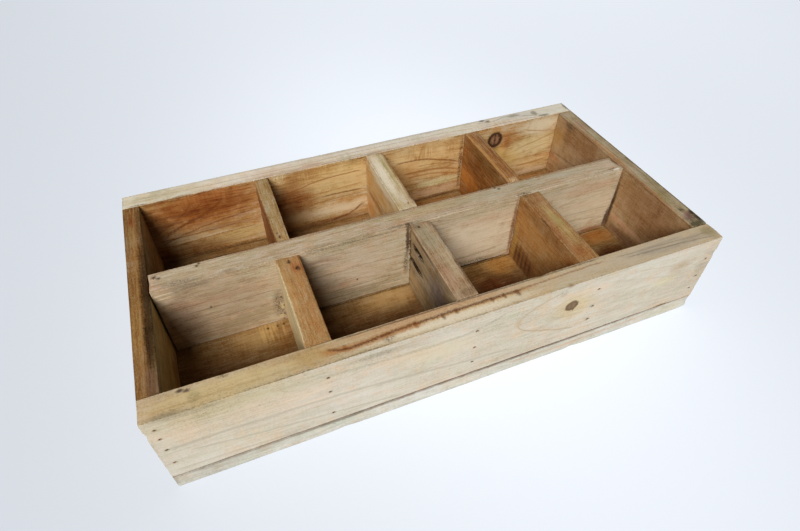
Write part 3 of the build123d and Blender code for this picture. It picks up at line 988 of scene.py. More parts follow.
leftEndLook = {
    "grain": "y", "slot": "brown_pine", "seed": 3.7,
    "colour": (162, 128, 86),
    "faces": {"+x": (190, 166, 112), "+z": (152, 114, 66)},
    "pith": (-250.0, -30.0), "lean": (0.0, 0.01), "ringGap": 3.8, "ringTone": 0.2, "streakTone": 0.7,
    "fibreTone": 1.2,
    "stains": {"+z": [
        stain((156, 122, 100), (-239, -96, 93), (5.5, 18, 5), 0.7, "streak"),
        stain((76, 56, 34), (-237.5, 4, 93), (4.4, 74, 5), 0.85, soft=0.7),
        stain((90, 67, 40), (-238, -58, 93), (4.4, 30, 5), 0.8),
        stain((104, 76, 44), (-237.6, 84, 94), (3.6, 34, 4), 0.7),
        stain((176, 142, 88), (-246, -44), (3.4, 36), 0.6),
        stain((150, 92, 48), (-243, 88), (3.6, 9), 0.7),
        stain((168, 138, 88), (-244, 66), (3, 16), 0.5),
    ], "+x": [
        stain((90, 74, 44), (-60, 50), (44, 18), 0.4, "streak"),
        stain((120, 70, 24), (-40, 28), (22, 14), 0.5),
        stain((88, 66, 40), (60, 60), (40, 24), 0.5, "streak"),
    ]},
    "veins": {"+z": [
        vein((70, 48, 28), [(-108, -249.2), (-50, -249.5), (20, -249), (108, -249.3)], 1.2, 0.8, broken=0.5,
             fray=2),
        vein((124, 78, 44), [(-108, -246), (-40, -245), (50, -246), (108, -245.5)], 1.0, 0.5, broken=0.4,
             fray=2),
        vein((180, 146, 98), [(-108, -242.6), (-40, -242), (50, -241.4), (108, -240)], 1.2, 0.4,
             broken=0.3),
    ]},
}
board("left_end_wall", leftEndLook, cutWane)


# Right end wall: brown, a chip knocked off its outer top edge

chip = {
    "fromFront": 31.0,
    "length": 20.0,
    "depth": 1.0,
    "rough": 0.03,
    "roughPeriod": (2.2, 5.0, 2.2),
}


def chipShape():
    # A rough ball that takes a shallow scallop off the edge
    edge = corners("right_end_wall")[1]
    front = corners("front_wall")[0][1]
    radius = (chip["length"] ** 2 / 4 + chip["depth"] ** 2) / (2 * chip["depth"])
    out = (radius - chip["depth"]) / math.sqrt(2)
    ball = bmesh.new()
    bmesh.ops.create_icosphere(ball, subdivisions=4, radius=radius)
    points = np.array([vert.co[:] for vert in ball.verts])
    faces = [[vert.index for vert in face.verts] for face in ball.faces]
    ball.free()
    points = points * (1 - chip["rough"] * softNoise(points, chip["roughPeriod"], 77)[:, None])
    return points + np.array([edge[0] + out, front + chip["fromFront"], edge[2] + out]), faces


rightEndLook = {
    "grain": "y", "slot": "brown_pine", "seed": 4.9,
    "colour": (176, 142, 104),
    "faces": {"-x": (184, 152, 112), "+z": (183, 166, 136)},
    "pith": (240.0, -60.0), "lean": (0.0, -0.02), "ringGap": 4.6, "ringTone": 0.06, "streakTone": 0.4,
    "fibreTone": 0.8, "blotch": 0.6, "warm": (1.03, 0.97, 0.92),
    "stains": {"-x": [
        stain((168, 124, 84), (-60, 74), (60, 30), 0.6),
        stain((211, 172, 140), (-38, 38.5), (40, 4.4), 0.8),
        stain((126, 94, 74), (-50, 25), (50, 7), 0.65),
        # painted shadow: a dark line down the corner where this wall meets the long divider
        stain((50, 35, 25), (-11, 50), (2.6, 38), 0.8, soft=0.8),
        stain((100, 72, 48), (0, 94.8), (112, 1.5), 0.6, "streak"),
        stain((168, 122, 80), (60, 80), (44, 20), 0.5),
        stain((196, 168, 136), (62, 50), (48, 26), 0.5),
        stain((112, 98, 84), (85, 91), (10, 5), 0.6, soft=0.9),
        stain((196, 158, 96), (100, 68), (12, 14), 0.6),
        stain((206, 156, 116), (100, 40), (14, 4), 0.6),
    ], "+z": [
        stain((118, 100, 70), (244, 0), (4, 80), 0.4, "dots"),
        stain((172, 124, 78), (234.5, 0), (2.8, 110), 0.7, "streak"),
        stain((196, 150, 104), (238, 20), (4, 40), 0.5),
        stain((150, 142, 104), (245, -40), (4, 26), 0.65, "dots"),
        stain((140, 132, 100), (246, 78), (3.6, 16), 0.6, "dots"),
        stain((186, 178, 150), (244, 40), (4, 44), 0.6, "streak"),
        stain((190, 150, 128), (241, 76), (6, 12), 0.5),
        stain((154, 140, 82), (239, -60), (4, 14), 0.5),
        stain((156, 122, 116), (241, -94), (7, 8), 0.85, soft=0.7),
        stain((78, 78, 44), (241, -84.5), (3, 3), 0.8, soft=0.9),
        stain((88, 82, 62), (243, -100), (10, 10), 0.75, "dots"),
        stain((92, 86, 60), (241, -105.5), (10, 4), 0.85),
        stain((30, 24, 20), (247.6, -90.5, 95), (3.6, 4, 4), 0.95, soft=0.8),
        stain((38, 32, 26), (248.6, -98, 95), (3.6, 8, 5), 0.9, soft=0.8),
    ]},
    "veins": {"-x": [
        vein((116, 80, 50), [(14, 62), (50, 55), (108, 46)], 1.4, 0.4),
    ], "+z": [
        vein((102, 76, 48), [(-104, 249.2), (-30, 249.4), (50, 249.2), (108, 249.3)], 1.1, 0.8, broken=0.4),
        vein((120, 92, 62), [(-104, 247), (-60, 243), (-20, 246), (30, 241), (108, 246)], 0.9, 0.5,
             broken=0.5, fray=2.5),
        vein((146, 112, 72), [(-80, 236), (-20, 239), (50, 236), (108, 239)], 0.9, 0.5, broken=0.5,
             fray=2.5),
    ]},
}
board("right_end_wall", rightEndLook, cutters=[chipShape()])


# Long divider: grey tan, weathered

longDividerLook = {
    "grain": "x", "slot": "grey_pine", "seed": 5.3, "contrast": 0.9,
    "colour": (197, 180, 152),
    "faces": {"+z": (198, 178, 150)},
    "pith": (60.0, 120.0), "lean": (0.01, 0.0), "ringGap": 4.4, "ringTone": 0.12, "streakTone": 0.7,
    "sawn": 0.05, "warm": (1.06, 0.95, 0.9), "grime": 0.3,
    "stains": {"-y": [
        # front face, one compartment after the other
        stain((172, 144, 116), (-186, 56), (66, 50), 0.5),
        stain((176, 140, 114), (-175, 70), (46, 7), 0.5, "streak"),
        stain((146, 134, 116), (-203, 89), (20, 8), 0.3, "dots"),
        stain((158, 140, 106), (-175, 34), (48, 15), 0.6, "streak"),
        stain((132, 104, 88), (-216, 54), (17, 34), 0.45),
        stain((96, 84, 64), (-136, 39), (6.5, 22), 0.85, "dots"),
        stain((222, 206, 160), (-136.4, 23), (3, 3), 0.8, "dots"),
        stain((226, 208, 164), (-133.6, 37), (2.4, 5), 0.9, "dots"),
        stain((150, 120, 110), (-94, 76), (18, 11), 0.5, "streak"),
        stain((150, 134, 102), (-50, 30), (52, 13), 0.6, "streak"),
        stain((216, 194, 170), (-56, 58), (44, 30), 0.4),
        stain((84, 56, 36), (-8.2, 78), (2.4, 22), 0.85),
        stain((84, 74, 66), (-9.6, 47), (3, 17), 0.75, "dots"),
        stain((229, 213, 188), (68, 56), (54, 36), 0.75, soft=0.7),
        stain((132, 110, 88), (38, 27), (30, 9), 0.4, "streak"),
        stain((140, 118, 94), (24, 84), (12, 10), 0.4, "streak"),
        stain((206, 170, 138), (70, 78), (40, 8), 0.4, "streak"),
        # partly painted shade in the corner beside the front right divider, partly the brown of that
        # divider's edge
        stain((140, 98, 62), (108.6, 55), (2.6, 44), 0.75),
        stain((100, 78, 54), (60, 21), (34, 5), 0.75, "dots"),
        stain((112, 90, 66), (18, 58), (5, 30), 0.6, "saw"),
        stain((222, 206, 179), (190, 56), (52, 40), 0.6),
        stain((200, 162, 132), (196, 80), (34, 9), 0.45),
        # painted shade: dark low in the corner at the right end wall
        stain((84, 58, 38), (231.4, 30), (2.6, 17), 0.85),
        stain((156, 102, 60), (214, 19), (20, 3.4), 0.75),
        stain((228, 212, 188), (229, 92), (5, 2.6), 0.9, "dots"),
        stain((120, 110, 94), (-205, 92), (20, 4.5), 0.5, "dots"),
    ] + [
        stain((92, 74, 60), (x, z), (1.2, 1.5), 0.85, soft=0.8, thick=1.5)
        for x, z in ((-193.5, 61), (-133.5, 49), (-132.4, 37), (-133.3, 26), (-134.6, 18.5), (-147, 17),
                     (-60, 43.5))
    ], "+z": [
        # top
        stain((184, 170, 128), (30, 5), (64, 7), 0.45),
        stain((180, 174, 156), (120, 3), (90, 8), 0.5, "streak"),
        stain((108, 98, 82), (-212, -6), (17, 4), 0.65, "dots"),
        stain((122, 110, 88), (-171, -7.4), (7, 2.6), 0.55, "dots"),
        stain((240, 230, 212), (226, -7.6), (4.6, 2.2), 0.95, rag=0.5),
        stain((86, 66, 46), (222, -5.4), (7, 1.6), 0.6, "dots"),
        stain((84, 80, 58), (-12, -8), (24, 2.4), 0.7, "dots"),
        stain((84, 58, 38), (-8, -8.8), (5, 2.6), 0.7, "saw"),
        stain((74, 70, 50), (114, -8.2), (9, 1.9), 0.9, "dots"),
        stain((158, 124, 92), (231.4, 4), (2.2, 8), 0.4),
    ] + [
        stain((78, 66, 52), (x, y), (reach, reach * 0.8), 0.9, soft=0.9, thick=1.5)
        for x, y, reach in ((-229.5, 7, 2.8), (-226, 4.6, 2.2), (-194.6, 8.2, 1.9), (-192.6, 10.6, 1.7),
                            (96, 7.6, 2.0), (92.6, 10.4, 1.7))
    ]},
    "veins": {"-y": [
        vein((236, 218, 186), [(-234, 90), (-226, 90.5), (-217, 91)], 0.9, 0.8, broken=0.3, ends=3),
        vein((232, 212, 176), [(-234, 85.6), (-225, 86), (-219, 86.4)], 0.8, 0.8, broken=0.3, ends=3),
        vein((214, 190, 154), [(-233, 81), (-226, 81), (-219, 81.4)], 0.8, 0.6, broken=0.2),
        vein((118, 96, 78), [(-218, 60), (-180, 60.6), (-134, 61)], 0.7, 0.6, broken=0.3),
        vein((124, 106, 84), [(-214, 45), (-180, 46), (-134, 45)], 0.7, 0.5, broken=0.4),
        vein((124, 108, 84), [(-204, 30), (-170, 30), (-134, 31)], 0.7, 0.5, broken=0.4),
        vein((206, 184, 154), [(-102, 77.6), (-60, 77.6), (-14, 78.2)], 0.9, 0.65),
        vein((130, 112, 88), [(-100, 61), (-60, 61.6), (-12, 61)], 0.7, 0.5, broken=0.4),
        vein((104, 94, 72), [(-92, 36), (-50, 37), (-12, 36)], 0.8, 0.5, broken=0.4),
        vein((100, 90, 68), [(-94, 27), (-50, 27.6), (-12, 27)], 0.8, 0.5, broken=0.4),
        vein((104, 92, 76), [(-108, 94.2), (-60, 94.4), (-14, 94)], 1.0, 0.6, broken=0.85, fray=2.5),
        vein((34, 24, 15), [(-108, 17.2), (-60, 17.1), (-10, 17.3)], 1.4, 0.9, soft=0.6, fray=0.6),
        vein((38, 24, 14), [(12, 17.4), (38, 18.4), (60, 18.2), (108, 17.2)], 2.5, 0.95, soft=0.6,
             fray=1.8),
        vein((70, 52, 36), [(-232, 17.2), (-180, 17.1), (-136, 17.3)], 1.2, 0.5, broken=0.4, fray=0.8),
        vein((118, 96, 74), [(14, 36), (50, 33), (96, 36)], 2.4, 0.3, soft=0.95, broken=0.4, fray=3),
        vein((154, 134, 108), [(160, 42), (190, 40), (231, 33)], 1.0, 0.5, broken=0.4),
        vein((160, 142, 116), [(166, 50), (200, 50), (231, 47)], 1.0, 0.45, broken=0.4),
        vein((214, 188, 162), [(166, 60), (200, 60), (231, 58)], 1.6, 0.55, soft=0.95),
    ], "+z": [
        vein((172, 126, 100), [(-60, -6), (0, -3), (70, -7)], 0.8, 0.4, broken=0.4),
        vein((142, 90, 56), [(-172, 11.6), (0, 11.2), (120, 11.4), (231, 11.2)], 1.1, 0.55, broken=0.4),
    ]},
}
board("long_divider", longDividerLook)


# Cross dividers of the front row

frontLeftLook = {
    "grain": "y", "slot": "honey_pine", "seed": 6.1,
    "colour": (210, 178, 130), "rust": 0.65, "rustReach": 2.6,
    "faces": {"+z": (182, 143, 94), "-x": (224, 204, 160)},
    "pith": (-150.0, 20.0), "ringGap": 5.4, "ringTone": 0.12, "sawn": 0.06, "streakTone": 0.6,
    "fibreTone": 1.0,
    "stains": {"+z": [
        stain((186, 132, 80), (-114, -84), (6, 26), 0.5, "streak"),
        stain((206, 164, 112), (-128, -50), (4, 30), 0.5),
        stain((176, 118, 76), (-116.5, -24), (5.5, 9), 0.6),
        stain((74, 40, 24), (-115.9, -25.7), (2.8, 3.2), 0.9, soft=0.9, thick=2),
        stain((84, 52, 32), (-121.2, -16.4), (2.0, 2.4), 0.8, soft=0.9, thick=2),
    ], "-x": [
        stain((206, 188, 150), (-92, 46), (22, 26), 0.6, "streak"),
    ]},
    "veins": {"+z": [
        vein((228, 208, 166), [(-107, -130.6), (-60, -130.4), (-11, -130.8)], 1.5, 0.8),
        vein((164, 120, 74), [(-104, -124), (-60, -122), (-14, -126)], 0.8, 0.5, broken=0.4),
        vein((168, 124, 80), [(-100, -118), (-60, -114.6), (-14, -116)], 0.8, 0.5, broken=0.4),
    ]},
}
board("front_left_divider", frontLeftLook)

frontMiddleLook = {
    "grain": "y", "slot": "grey_pine", "seed": 7.7,
    "colour": (176, 150, 118), "rust": 0.3,
    "faces": {"+z": (174, 147, 115), "-x": (167, 145, 111)},
    "pith": (40.0, 0.0), "ringGap": 4.2, "ringTone": 0.06, "specks": 0.6, "grime": 0.4, "blotch": 0.6,
    "streakTone": 0.5, "fibreTone": 1.1,
    "stains": {"-x": [
        stain((127, 112, 109), (-78, 66), (24, 24), 0.85, soft=0.8),
        stain((110, 94, 84), (-62, 44), (24, 14), 0.5, "streak"),
        # painted shade: near black inside the two cracks and at the lower crack's thin tip
        stain((9, 5, 3), (-31.5, 79), (13.5, 4.3), 1.0, soft=0.35, rag=0.4, thick=40),
        stain((9, 5, 3), (-28.5, 58.6), (15.5, 4.1), 1.0, soft=0.35, rag=0.4, thick=40),
        stain((40, 26, 16), (-14, 58), (6, 2.6), 0.95, soft=0.7, rag=0.4),
        stain((120, 94, 66), (-31, 70), (18, 20), 0.4, "streak"),
        stain((84, 56, 38), (-11, 72), (4.4, 26), 0.8),
        stain((74, 58, 46), (-12, 42), (3.6, 18), 0.7, "dots"),
        stain((194, 167, 127), (-28, 32), (26, 15), 0.65),
        stain((112, 70, 46), (-40, 92.6), (34, 2.0), 0.75, "streak"),
        stain((182, 156, 112), (-16, 88), (10, 6), 0.5),
    ], "+z": [
        stain((168, 160, 132), (0, -30), (9, 20), 0.5),
        stain((190, 156, 128), (-2, -84), (8, 20), 0.6),
        stain((204, 184, 152), (8, -66), (4, 34), 0.5, "streak"),
        stain((110, 96, 74), (-1, -15), (5, 4), 0.6, "dots"),
        stain((96, 72, 54), (6, -103), (8, 5), 0.6, "dots"),
    ]},
    "veins": {"+z": [
        vein((112, 84, 62), [(-104, -4), (-60, -3.2), (-14, -4.4)], 0.9, 0.35, broken=0.4),
        vein((98, 66, 44), [(-106, 12.2), (-80, 12.4), (-60, 12.2)], 1.2, 0.7, broken=0.3),
        vein((212, 190, 156), [(-106, -6.2), (-60, -6.1), (-30, -6.2)], 0.8, 0.6, broken=0.5),
    ]},
}

cracks = {
    "upper": {"fromDivider": 21.0, "belowTop": 17.2, "length": 25.0, "halfWidth": 3.3, "seed": 5},
    "lower": {"fromDivider": 18.0, "belowTop": 37.6, "length": 29.0, "halfWidth": 3.2, "seed": 8},
    "steps": 15,                        # points along each side of a crack
    "levels": ((-1.0, 1.0), (0.0, 1.0), (3.0, 0.6), (6.0, 0.15)),   # depth, share of the width
    "meshStep": 0.8,
}
torn = {
    "fromEnd": 2.2,
    "fromFace": 2.0,
    "sideways": 2.6,
    "back": 2.2,
}


def crackShape(sizes):
    # A pointed slot along the grain with torn sides, narrower at its bottom
    face, end = corners("front_middle_divider")
    along, height = end[1] - sizes["fromDivider"], end[2] - sizes["belowTop"]
    dice = np.random.default_rng(sizes["seed"])
    count = cracks["steps"]
    shares = np.linspace(-1, 1, count)
    sway = 0.5 * np.cumsum(dice.uniform(-0.5, 0.5, count))
    sway = sway - np.linspace(sway[0], sway[-1], count)
    widths = sizes["halfWidth"] * (1 - shares ** 2) * dice.uniform(0.7, 1.1, count) + 0.02
    outline = [(share, sway[i] + widths[i]) for i, share in enumerate(shares)]
    outline += [(share, sway[i] - widths[i]) for i, share in reversed(list(enumerate(shares)))]
    points = []
    for depth, squeeze in cracks["levels"]:
        for share, offset in outline:
            middle = sway[int(round((share + 1) / 2 * (count - 1)))]
            rise = middle + (offset - middle) * squeeze
            points.append((face[0] + depth, along + share * sizes["length"] / 2, height + rise))
    ring, last = len(outline), len(cracks["levels"]) - 1
    faces = [tuple(range(ring)), tuple(reversed(range(last * ring, (last + 1) * ring)))]
    for level in range(last):
        for i in range(ring):
            after = (i + 1) % ring
            top, low = level * ring, (level + 1) * ring
            faces.append((top + after, top + i, low + i, low + after))
    return np.array(points), faces


def tearEnd(points, low, high):
    # Splinters torn out of the far end of the left face
    points = points.copy()
    near = np.exp(-((high[1] - points[:, 1]) / torn["fromEnd"]) ** 2)
    near = near * np.exp(-((points[:, 0] - low[0]) / torn["fromFace"]) ** 2)
    teeth = softNoise(points, [40, 40, 2.3], 61) ** 2 + 0.6 * softNoise(points, [40, 40, 1.1], 62) ** 3
    points[:, 0] += near * teeth * torn["sideways"]
    points[:, 1] -= near * teeth * torn["back"]
    return points


crackLow, crackHigh = corners("front_middle_divider")
board("front_middle_divider", frontMiddleLook, tearEnd, {2: (crackLow[2], crackHigh[2], cracks["meshStep"])},
      [crackShape(cracks["upper"]), crackShape(cracks["lower"])])

frontRightLook = {
    "grain": "y", "slot": "honey_pine", "seed": 8.3,
    "colour": (180, 140, 92),
    "faces": {"+z": (175, 139, 94), "-x": (179, 134, 82)},
    "pith": (180.0, 10.0), "ringGap": 5.0, "ringTone": 0.04, "streakTone": 0.3, "fibreTone": 0.8,
    "grime": 0.2, "blotch": 0.6,
    "stains": {"-x": [
        stain((200, 152, 92), (-40, 72), (40, 18), 0.55),
        stain((132, 92, 58), (-34, 28), (34, 17), 0.7, soft=0.8),
        stain((156, 112, 70), (-60, 88), (50, 7), 0.5, "streak"),
        stain((190, 160, 92), (-16, 40), (5, 30), 0.5),
    ] + [
        stain((74, 50, 30), (y, z), (2.4, reach), 0.6, soft=0.95, thick=1.8)
        for y, z, reach in ((-21, 30, 15), (-27.6, 31, 17), (-34, 28, 15), (-40.6, 31, 15), (-47.6, 29, 11))
    ], "+z": [
        stain((168, 112, 70), (114, -60), (5, 46), 0.65, "streak"),
        stain((202, 178, 126), (122, -60), (6, 34), 0.6, "streak"),
        stain((172, 132, 96), (120, -20), (10, 11), 0.5),
        stain((168, 150, 96), (123, -54), (6, 12), 0.5),
        stain((176, 120, 70), (120, -98), (10, 12), 0.55),
        stain((92, 68, 48), (114, -12), (4, 3), 0.6, "dots"),
    ]},
    "veins": {"+z": [
        vein((124, 86, 56), [(-104, 113), (-60, 112), (-14, 114)], 1.4, 0.35, broken=0.4),
        vein((76, 52, 36), [(-66, 111), (-54, 111.6), (-44, 111)], 1.4, 0.7, ends=4, fray=2),
    ]},
}
board("front_right_divider", frontRightLook)


# Cross dividers of the back row. The left one is thinner at the long divider.

thinEnd = 11.8


def taper(points, low, high):
    # Thins the board evenly from the back wall to the long divider
    middle = (low[0] + high[0]) / 2
    full = high[0] - low[0]
    share = (points[:, 1] - low[1]) / (high[1] - low[1])
    width = thinEnd / full + (1 - thinEnd / full) * share
    points = points.copy()
    points[:, 0] = middle + (points[:, 0] - middle) * width
    return points


backLeftLook = {
    "grain": "y", "slot": "brown_pine", "seed": 9.1,
    "colour": (176, 142, 96),
    "faces": {"+z": (174, 145, 99), "-x": (158, 107, 59)},
    "pith": (-90.0, 150.0), "ringGap": 4.6, "ringTone": 0.15, "streakTone": 0.7,
    "stains": {"-x": [
        stain((186, 140, 84), (84, 90), (30, 8), 0.65, "streak"),
        stain((136, 82, 48), (50, 72), (44, 12), 0.5, "streak"),
        stain((168, 122, 78), (96, 54), (16, 20), 0.5),
    ], "+z": [
        stain((80, 62, 44), (x, y), (1.4, 1.4), 0.6, soft=0.9, thick=1.5)
        for x, y in ((-121, 19), (-122.4, 23.5))
    ]},
    "veins": {"+z": [
        vein((176, 142, 92), [(16, -119), (60, -117.6), (106, -119)], 0.8, 0.6, broken=0.4),
        vein((128, 98, 60), [(16, -115), (60, -114), (106, -114.6)], 0.9, 0.6, broken=0.4),
    ], "-x": [
        vein((190, 156, 112), [(14, 92), (60, 92.6), (108, 92)], 1.6, 0.6),
    ]},
}
board("back_left_divider", backLeftLook, taper)

backMiddleLook = {
    "grain": "y", "slot": "grey_pine", "seed": 10.7,
    "colour": (206, 182, 142), "rust": 0.3,
    "faces": {"+z": (212, 192, 158), "-x": (214, 178, 124)},
    "pith": (-60.0, 100.0), "ringGap": 5.2, "ringTone": 0.12, "streakTone": 0.6, "blotch": 0.6,
    "stains": {"+z": [
        stain((238, 228, 206), (-2, 74), (6, 44), 0.8),
        stain((184, 172, 116), (5.4, 78), (2.2, 40), 0.7),
        stain((186, 150, 98), (10, 70), (2.2, 50), 0.7),
        stain((196, 168, 122), (-4, 22), (6, 10), 0.5, "streak"),
        stain((148, 118, 82), (9, 26), (3, 14), 0.6, "dots"),
    ], "-x": [
        stain((236, 222, 194), (64, 91), (50, 7), 0.85),
        stain((212, 166, 98), (80, 70), (34, 11), 0.6, "streak"),
        stain((172, 114, 58), (82, 54), (30, 6), 0.7, "streak"),
        stain((206, 146, 84), (98, 36), (16, 14), 0.6),
    ]},
    "veins": {"+z": [
        vein((150, 122, 84), [(16, -5.4), (60, -6), (106, -5)], 0.8, 0.4, broken=0.4),
    ], "-x": [
        vein((168, 116, 62), [(50, 60), (80, 63), (108, 60)], 1.1, 0.6),
    ]},
}
board("back_middle_divider", backMiddleLook)

backRightLook = {
    "grain": "y", "slot": "honey_pine", "seed": 11.9,
    "colour": (176, 124, 78),
    "faces": {"+z": (172, 127, 78), "-x": (166, 115, 59)},
    "pith": (60.0, 60.0), "ringGap": 4.8, "ringTone": 0.15, "streakTone": 0.6,
    "stains": {"-x": [
        stain((140, 106, 62), (64, 88), (50, 10), 0.65),
        stain((134, 88, 52), (82, 72), (16, 12), 0.5),
        stain((202, 140, 70), (90, 46), (26, 14), 0.75),
    ], "+z": [
        stain((226, 204, 166), (117, 16), (6, 4), 0.8, "dots"),
        stain((200, 152, 92), (112, 60), (2.4, 50), 0.6),
        stain((134, 88, 46), (118.4, 70), (2, 44), 0.5, "streak"),
    ]},
    "veins": {"+z": [
        vein((204, 156, 98), [(16, 112), (60, 111.6), (106, 112)], 1.4, 0.5),
        vein((130, 84, 48), [(16, 116), (60, 117), (106, 116)], 0.9, 0.7, broken=0.3),
        vein((116, 74, 42), [(16, 121), (60, 121.6), (106, 121)], 1.1, 0.7, broken=0.3),
    ]},
}
board("back_right_divider", backRightLook)


# The two boards of the bottom

lowerCorners = {
    "left": 3.0,
    "right": 7.0,
}


def wearLowerCorners(points, low, high):
    # Rounds the lower corners at both ends
    points = points.copy()
    for radius, end, side in ((lowerCorners["left"], low[0], 1), (lowerCorners["right"], high[0], -1)):
        away = (points[:, 0] - end) * side
        outX, outZ = radius - away, radius - (points[:, 2] - low[2])
        far = np.hypot(outX, outZ)
        over = (outX > 0) & (outZ > 0) & (far > radius)
        points[over, 0] = end + side * (radius - outX[over] / far[over] * radius)
        points[over, 2] = low[2] + radius - outZ[over] / far[over] * radius
    return points


bottomLook = {
    "grain": "x", "slot": "bottom_pine",
    "colour": (196, 191, 177),
    "faces": {"+z": (150, 118, 74)},
    "pith": (-20.0, 90.0), "ringGap": 6.0, "ringTone": 0.12, "streakTone": 0.5, "fibreTone": 1.0,
    "blotch": 0.4,
}
frontBottomLook = {
    **bottomLook, "seed": 12.3,
    "stains": {"+z": [
        # painted shade: the floor darker and redder towards the front wall, where that wall's shadow falls
        # on it
        stain((88, 44, 10), (0, -92), (300, 64), 0.9, soft=0.8, rag=0.5),
        stain((84, 40, 8), (216, -50), (26, 13), 0.75, soft=0.8),
        stain((96, 52, 16), (80, -50), (30, 15), 0.7, soft=0.8),
        stain((84, 56, 34), (-206, -80), (50, 66), 0.6, soft=0.8),
        stain((180, 152, 106), (-166, -20), (22, 15), 0.6),
        stain((204, 172, 116), (-148, -20), (18, 14), 0.7, "saw"),
        stain((148, 100, 50), (-140, -30), (12, 18), 0.5, "dots"),
        stain((198, 166, 116), (-34, -21), (32, 17), 0.6),
        stain((186, 144, 84), (94, -20), (20, 15), 0.75),
        stain((112, 80, 38), (62, -20), (12, 10), 0.5),
        stain((116, 60, 26), (72, -42), (18, 9), 0.45),
        stain((168, 120, 64), (218, -22), (22, 13), 0.8),
        stain((150, 94, 44), (212, -18), (14, 3), 0.5),
    ] + [
        stain((56, 36, 20), (x, -14.5), (1.6, 1.6), 0.8, soft=0.9, thick=1.4)
        for x in (-152, -143, -137)
    ], "-y": [
        stain((206, 182, 156), (110, 8), (30, 6), 0.6, "streak"),
        stain((196, 190, 156), (220, 9), (34, 7), 0.6, "streak"),
        stain((148, 142, 128), (-120, 15), (40, 2.6), 0.6),
        stain((160, 152, 136), (-200, 12), (50, 4), 0.5, "dots"),
        stain((110, 100, 88), (-249, 12), (3, 7), 0.5, "dots"),
    ]},
    "veins": {"+z": [
        vein((120, 88, 54), [(-96, -12), (-77, -18), (-58, -12)], 0.9, 0.5, ends=4),
        vein((118, 76, 36), [(200, -17), (208, -13.4), (220, -14.6), (232, -20)], 0.9, 0.4, ends=3),
        vein((40, 27, 16), [(-120, -10.2), (0, -10.3), (232, -10.2)], 1.1, 0.6, soft=0.6, broken=0.4),
    ], "-y": [
        vein((120, 110, 96), [(-250, 15.6), (-100, 15.4), (80, 15.6)], 1.2, 0.5, broken=0.5),
        vein((188, 134, 92), [(40, 12), (120, 9), (200, 12)], 1.6, 0.5, broken=0.4),
    ]},
}
backBottomLook = {
    **bottomLook, "seed": 13.7,
    "stains": {"+z": [
        stain((92, 58, 32), (-180, 60), (60, 50), 0.6),
        stain((184, 132, 80), (60, 80), (50, 30), 0.6),
        stain((190, 140, 86), (180, 90), (50, 24), 0.6),
    ]},
}
board("front_bottom_board", frontBottomLook, wearLowerCorners)
board("back_bottom_board", backBottomLook, wearLowerCorners)


# Rusty nails

rust = {
    "dark": (82, 64, 49),
    "bright": (128, 99, 73),
    "spots": 900,                       # for each metre
    "roughness": 0.75,
    "metal": 0.2,
}


def rustyIron():
    material = bpy.data.materials.new("rusty_iron")
    material.use_nodes = True
    tree = material.node_tree
    shader = tree.nodes["Principled BSDF"]
    place = put(tree, "ShaderNodeTexCoord").outputs["Object"]
    spots = noiseAt(tree, place, [rust["spots"]] * 3, 3.0, 0.6)
    colour = ramp(tree, spots, [(0.35, rgb(*rust["dark"])), (0.7, rgb(*rust["bright"]))])
    tree.links.new(colour, shader.inputs["Base Color"])
    bump = put(tree, "ShaderNodeBump", {"Height": spots, "Strength": 0.4, "Distance": 0.2 * mm})
    tree.links.new(bump.outputs[0], shader.inputs["Normal"])
    shader.inputs["Roughness"].default_value = rust["roughness"]
    shader.inputs["Metallic"].default_value = rust["metal"]
    return material


iron = rustyIron()
for node in nailNodes:
    shapes = []
    for head, axis, length in nailPlaces[node]:
        points, faces = nailShape(length)
        shapes.append((placed(points, head, axis), faces))
    piece = meshFrom(node + "_iron", *joined(shapes))
    smoothShade(piece)
    piece.data.materials.append(iron)
    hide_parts(node)
    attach(piece, "root")
print("nails done")


# Stage, light and camera

stageLook = {
    "floorSize": 8.0,
    "floorBelow": 0.2,
    "floorGlow": 0.3,
    "pools": [      # soft pools of light: strength, middle, size
        (0.195, (62, 33, 0), (262, 469, 100)),
        (0.4, (722, 2135, 0), (1449, 2897, 100)),
    ],
    "glowColour": (244, 249, 255),
    "floorColour": (138, 142, 150),
    "horizon": (226, 232, 240),
    "zenith": (70, 73, 79),
    "skyStrength": 0.34,
    "keyStrength": 355.0,
    "keySize": 3.2,
    "keyFar": 6.0,
    "keyDirection": (0.57, 0.89, -1.0),
    "keyColour": (255, 253, 250),
}


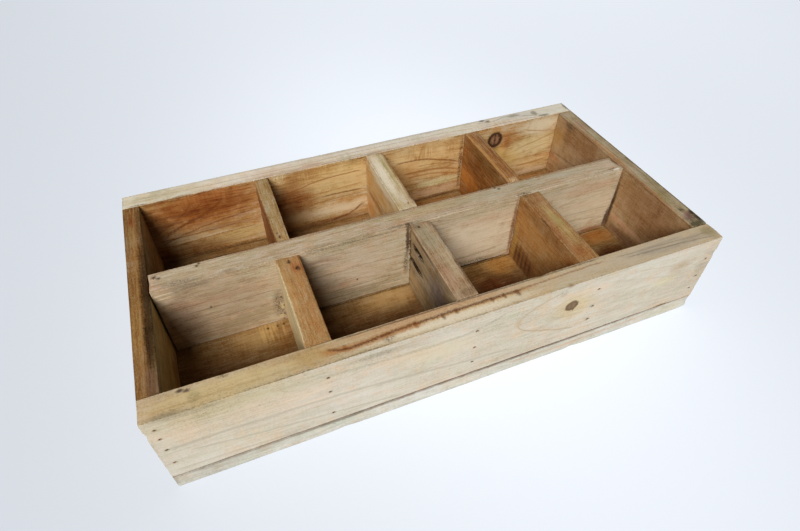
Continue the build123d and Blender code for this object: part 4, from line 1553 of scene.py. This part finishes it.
def layFloor():
    half = stageLook["floorSize"] / 2 / mm
    down = -stageLook["floorBelow"]
    points = [(-half, -half, down), (half, -half, down), (half, half, down), (-half, half, down)]
    floor = meshFrom("floor", np.array(points), [(0, 1, 2, 3)])
    material = bpy.data.materials.new("pale_floor")
    material.use_nodes = True
    tree = material.node_tree
    shader = tree.nodes["Principled BSDF"]
    shader.inputs["Base Color"].default_value = rgb(*stageLook["floorColour"])
    shader.inputs["Roughness"].default_value = 0.9
    shader.inputs["Specular IOR Level"].default_value = 0.1
    shader.inputs["Emission Color"].default_value = rgb(*stageLook["glowColour"])
    place = inMillimetres(tree, put(tree, "ShaderNodeTexCoord").outputs["Object"])
    glow = stageLook["floorGlow"]
    for strength, middle, size in stageLook["pools"]:
        inputs = {"Vector": place, "Location": middle, "Scale": size}
        around = put(tree, "ShaderNodeMapping", inputs, vector_type="TEXTURE").outputs[0]
        far = vectors(tree, "LENGTH", around, output=1)
        pool = sums(tree, "EXPONENT", sums(tree, "MULTIPLY", sums(tree, "MULTIPLY", far, far), -1.0))
        glow = sums(tree, "MULTIPLY_ADD", pool, strength, glow)
    tree.links.new(glow, shader.inputs["Emission Strength"])
    floor.data.materials.append(material)


def hangLights():
    world = bpy.data.worlds.new("studio")
    bpy.context.scene.world = world
    world.use_nodes = True
    tree = world.node_tree
    back = tree.nodes["Background"]
    around = put(tree, "ShaderNodeTexCoord").outputs["Generated"]
    upward = apart(tree, around)[2]
    sky = ramp(tree, upward, [(0.1, rgb(*stageLook["horizon"])), (0.75, rgb(*stageLook["zenith"]))])
    tree.links.new(sky, back.inputs["Color"])
    back.inputs["Strength"].default_value = stageLook["skyStrength"]
    key = bpy.data.objects.new("key", bpy.data.lights.new("key", "AREA"))
    key.data.energy = stageLook["keyStrength"]
    key.data.shape = "DISK"
    key.data.size = stageLook["keySize"]
    key.data.color = rgb(*stageLook["keyColour"])[:3]
    direction = Vector(stageLook["keyDirection"]).normalized()
    key.location = -direction * stageLook["keyFar"]
    key.rotation_euler = direction.to_track_quat("-Z", "Y").to_euler()
    bpy.context.scene.collection.objects.link(key)


view = {
    "place": (-157.3, -354.7, 424.6),
    "turn": 22.28,          # degrees to the right of straight ahead
    "tip": 45.43,           # degrees below the horizon
    "roll": 0.46,
    "lens": 24.46,
    "sensor": 36.0,
    "nearest": 10.0,
}


def setCamera():
    camera = bpy.data.objects.new("camera", bpy.data.cameras.new("camera"))
    camera.data.lens = view["lens"]
    camera.data.sensor_width = view["sensor"]
    camera.data.clip_start = view["nearest"] * mm
    turn = Matrix.Rotation(math.radians(-view["turn"]), 4, "Z")
    tip = Matrix.Rotation(math.radians(90 - view["tip"]), 4, "X")
    roll = Matrix.Rotation(math.radians(view["roll"]), 4, "Z")
    camera.matrix_world = Matrix.Translation(Vector(view["place"]) * mm) @ turn @ tip @ roll
    bpy.context.scene.collection.objects.link(camera)
    bpy.context.scene.camera = camera


layFloor()
hangLights()
setCamera()
bpy.context.scene.view_settings.view_transform = "Standard"
bpy.context.scene.view_settings.look = "Medium High Contrast"
print("stage, light and camera done")
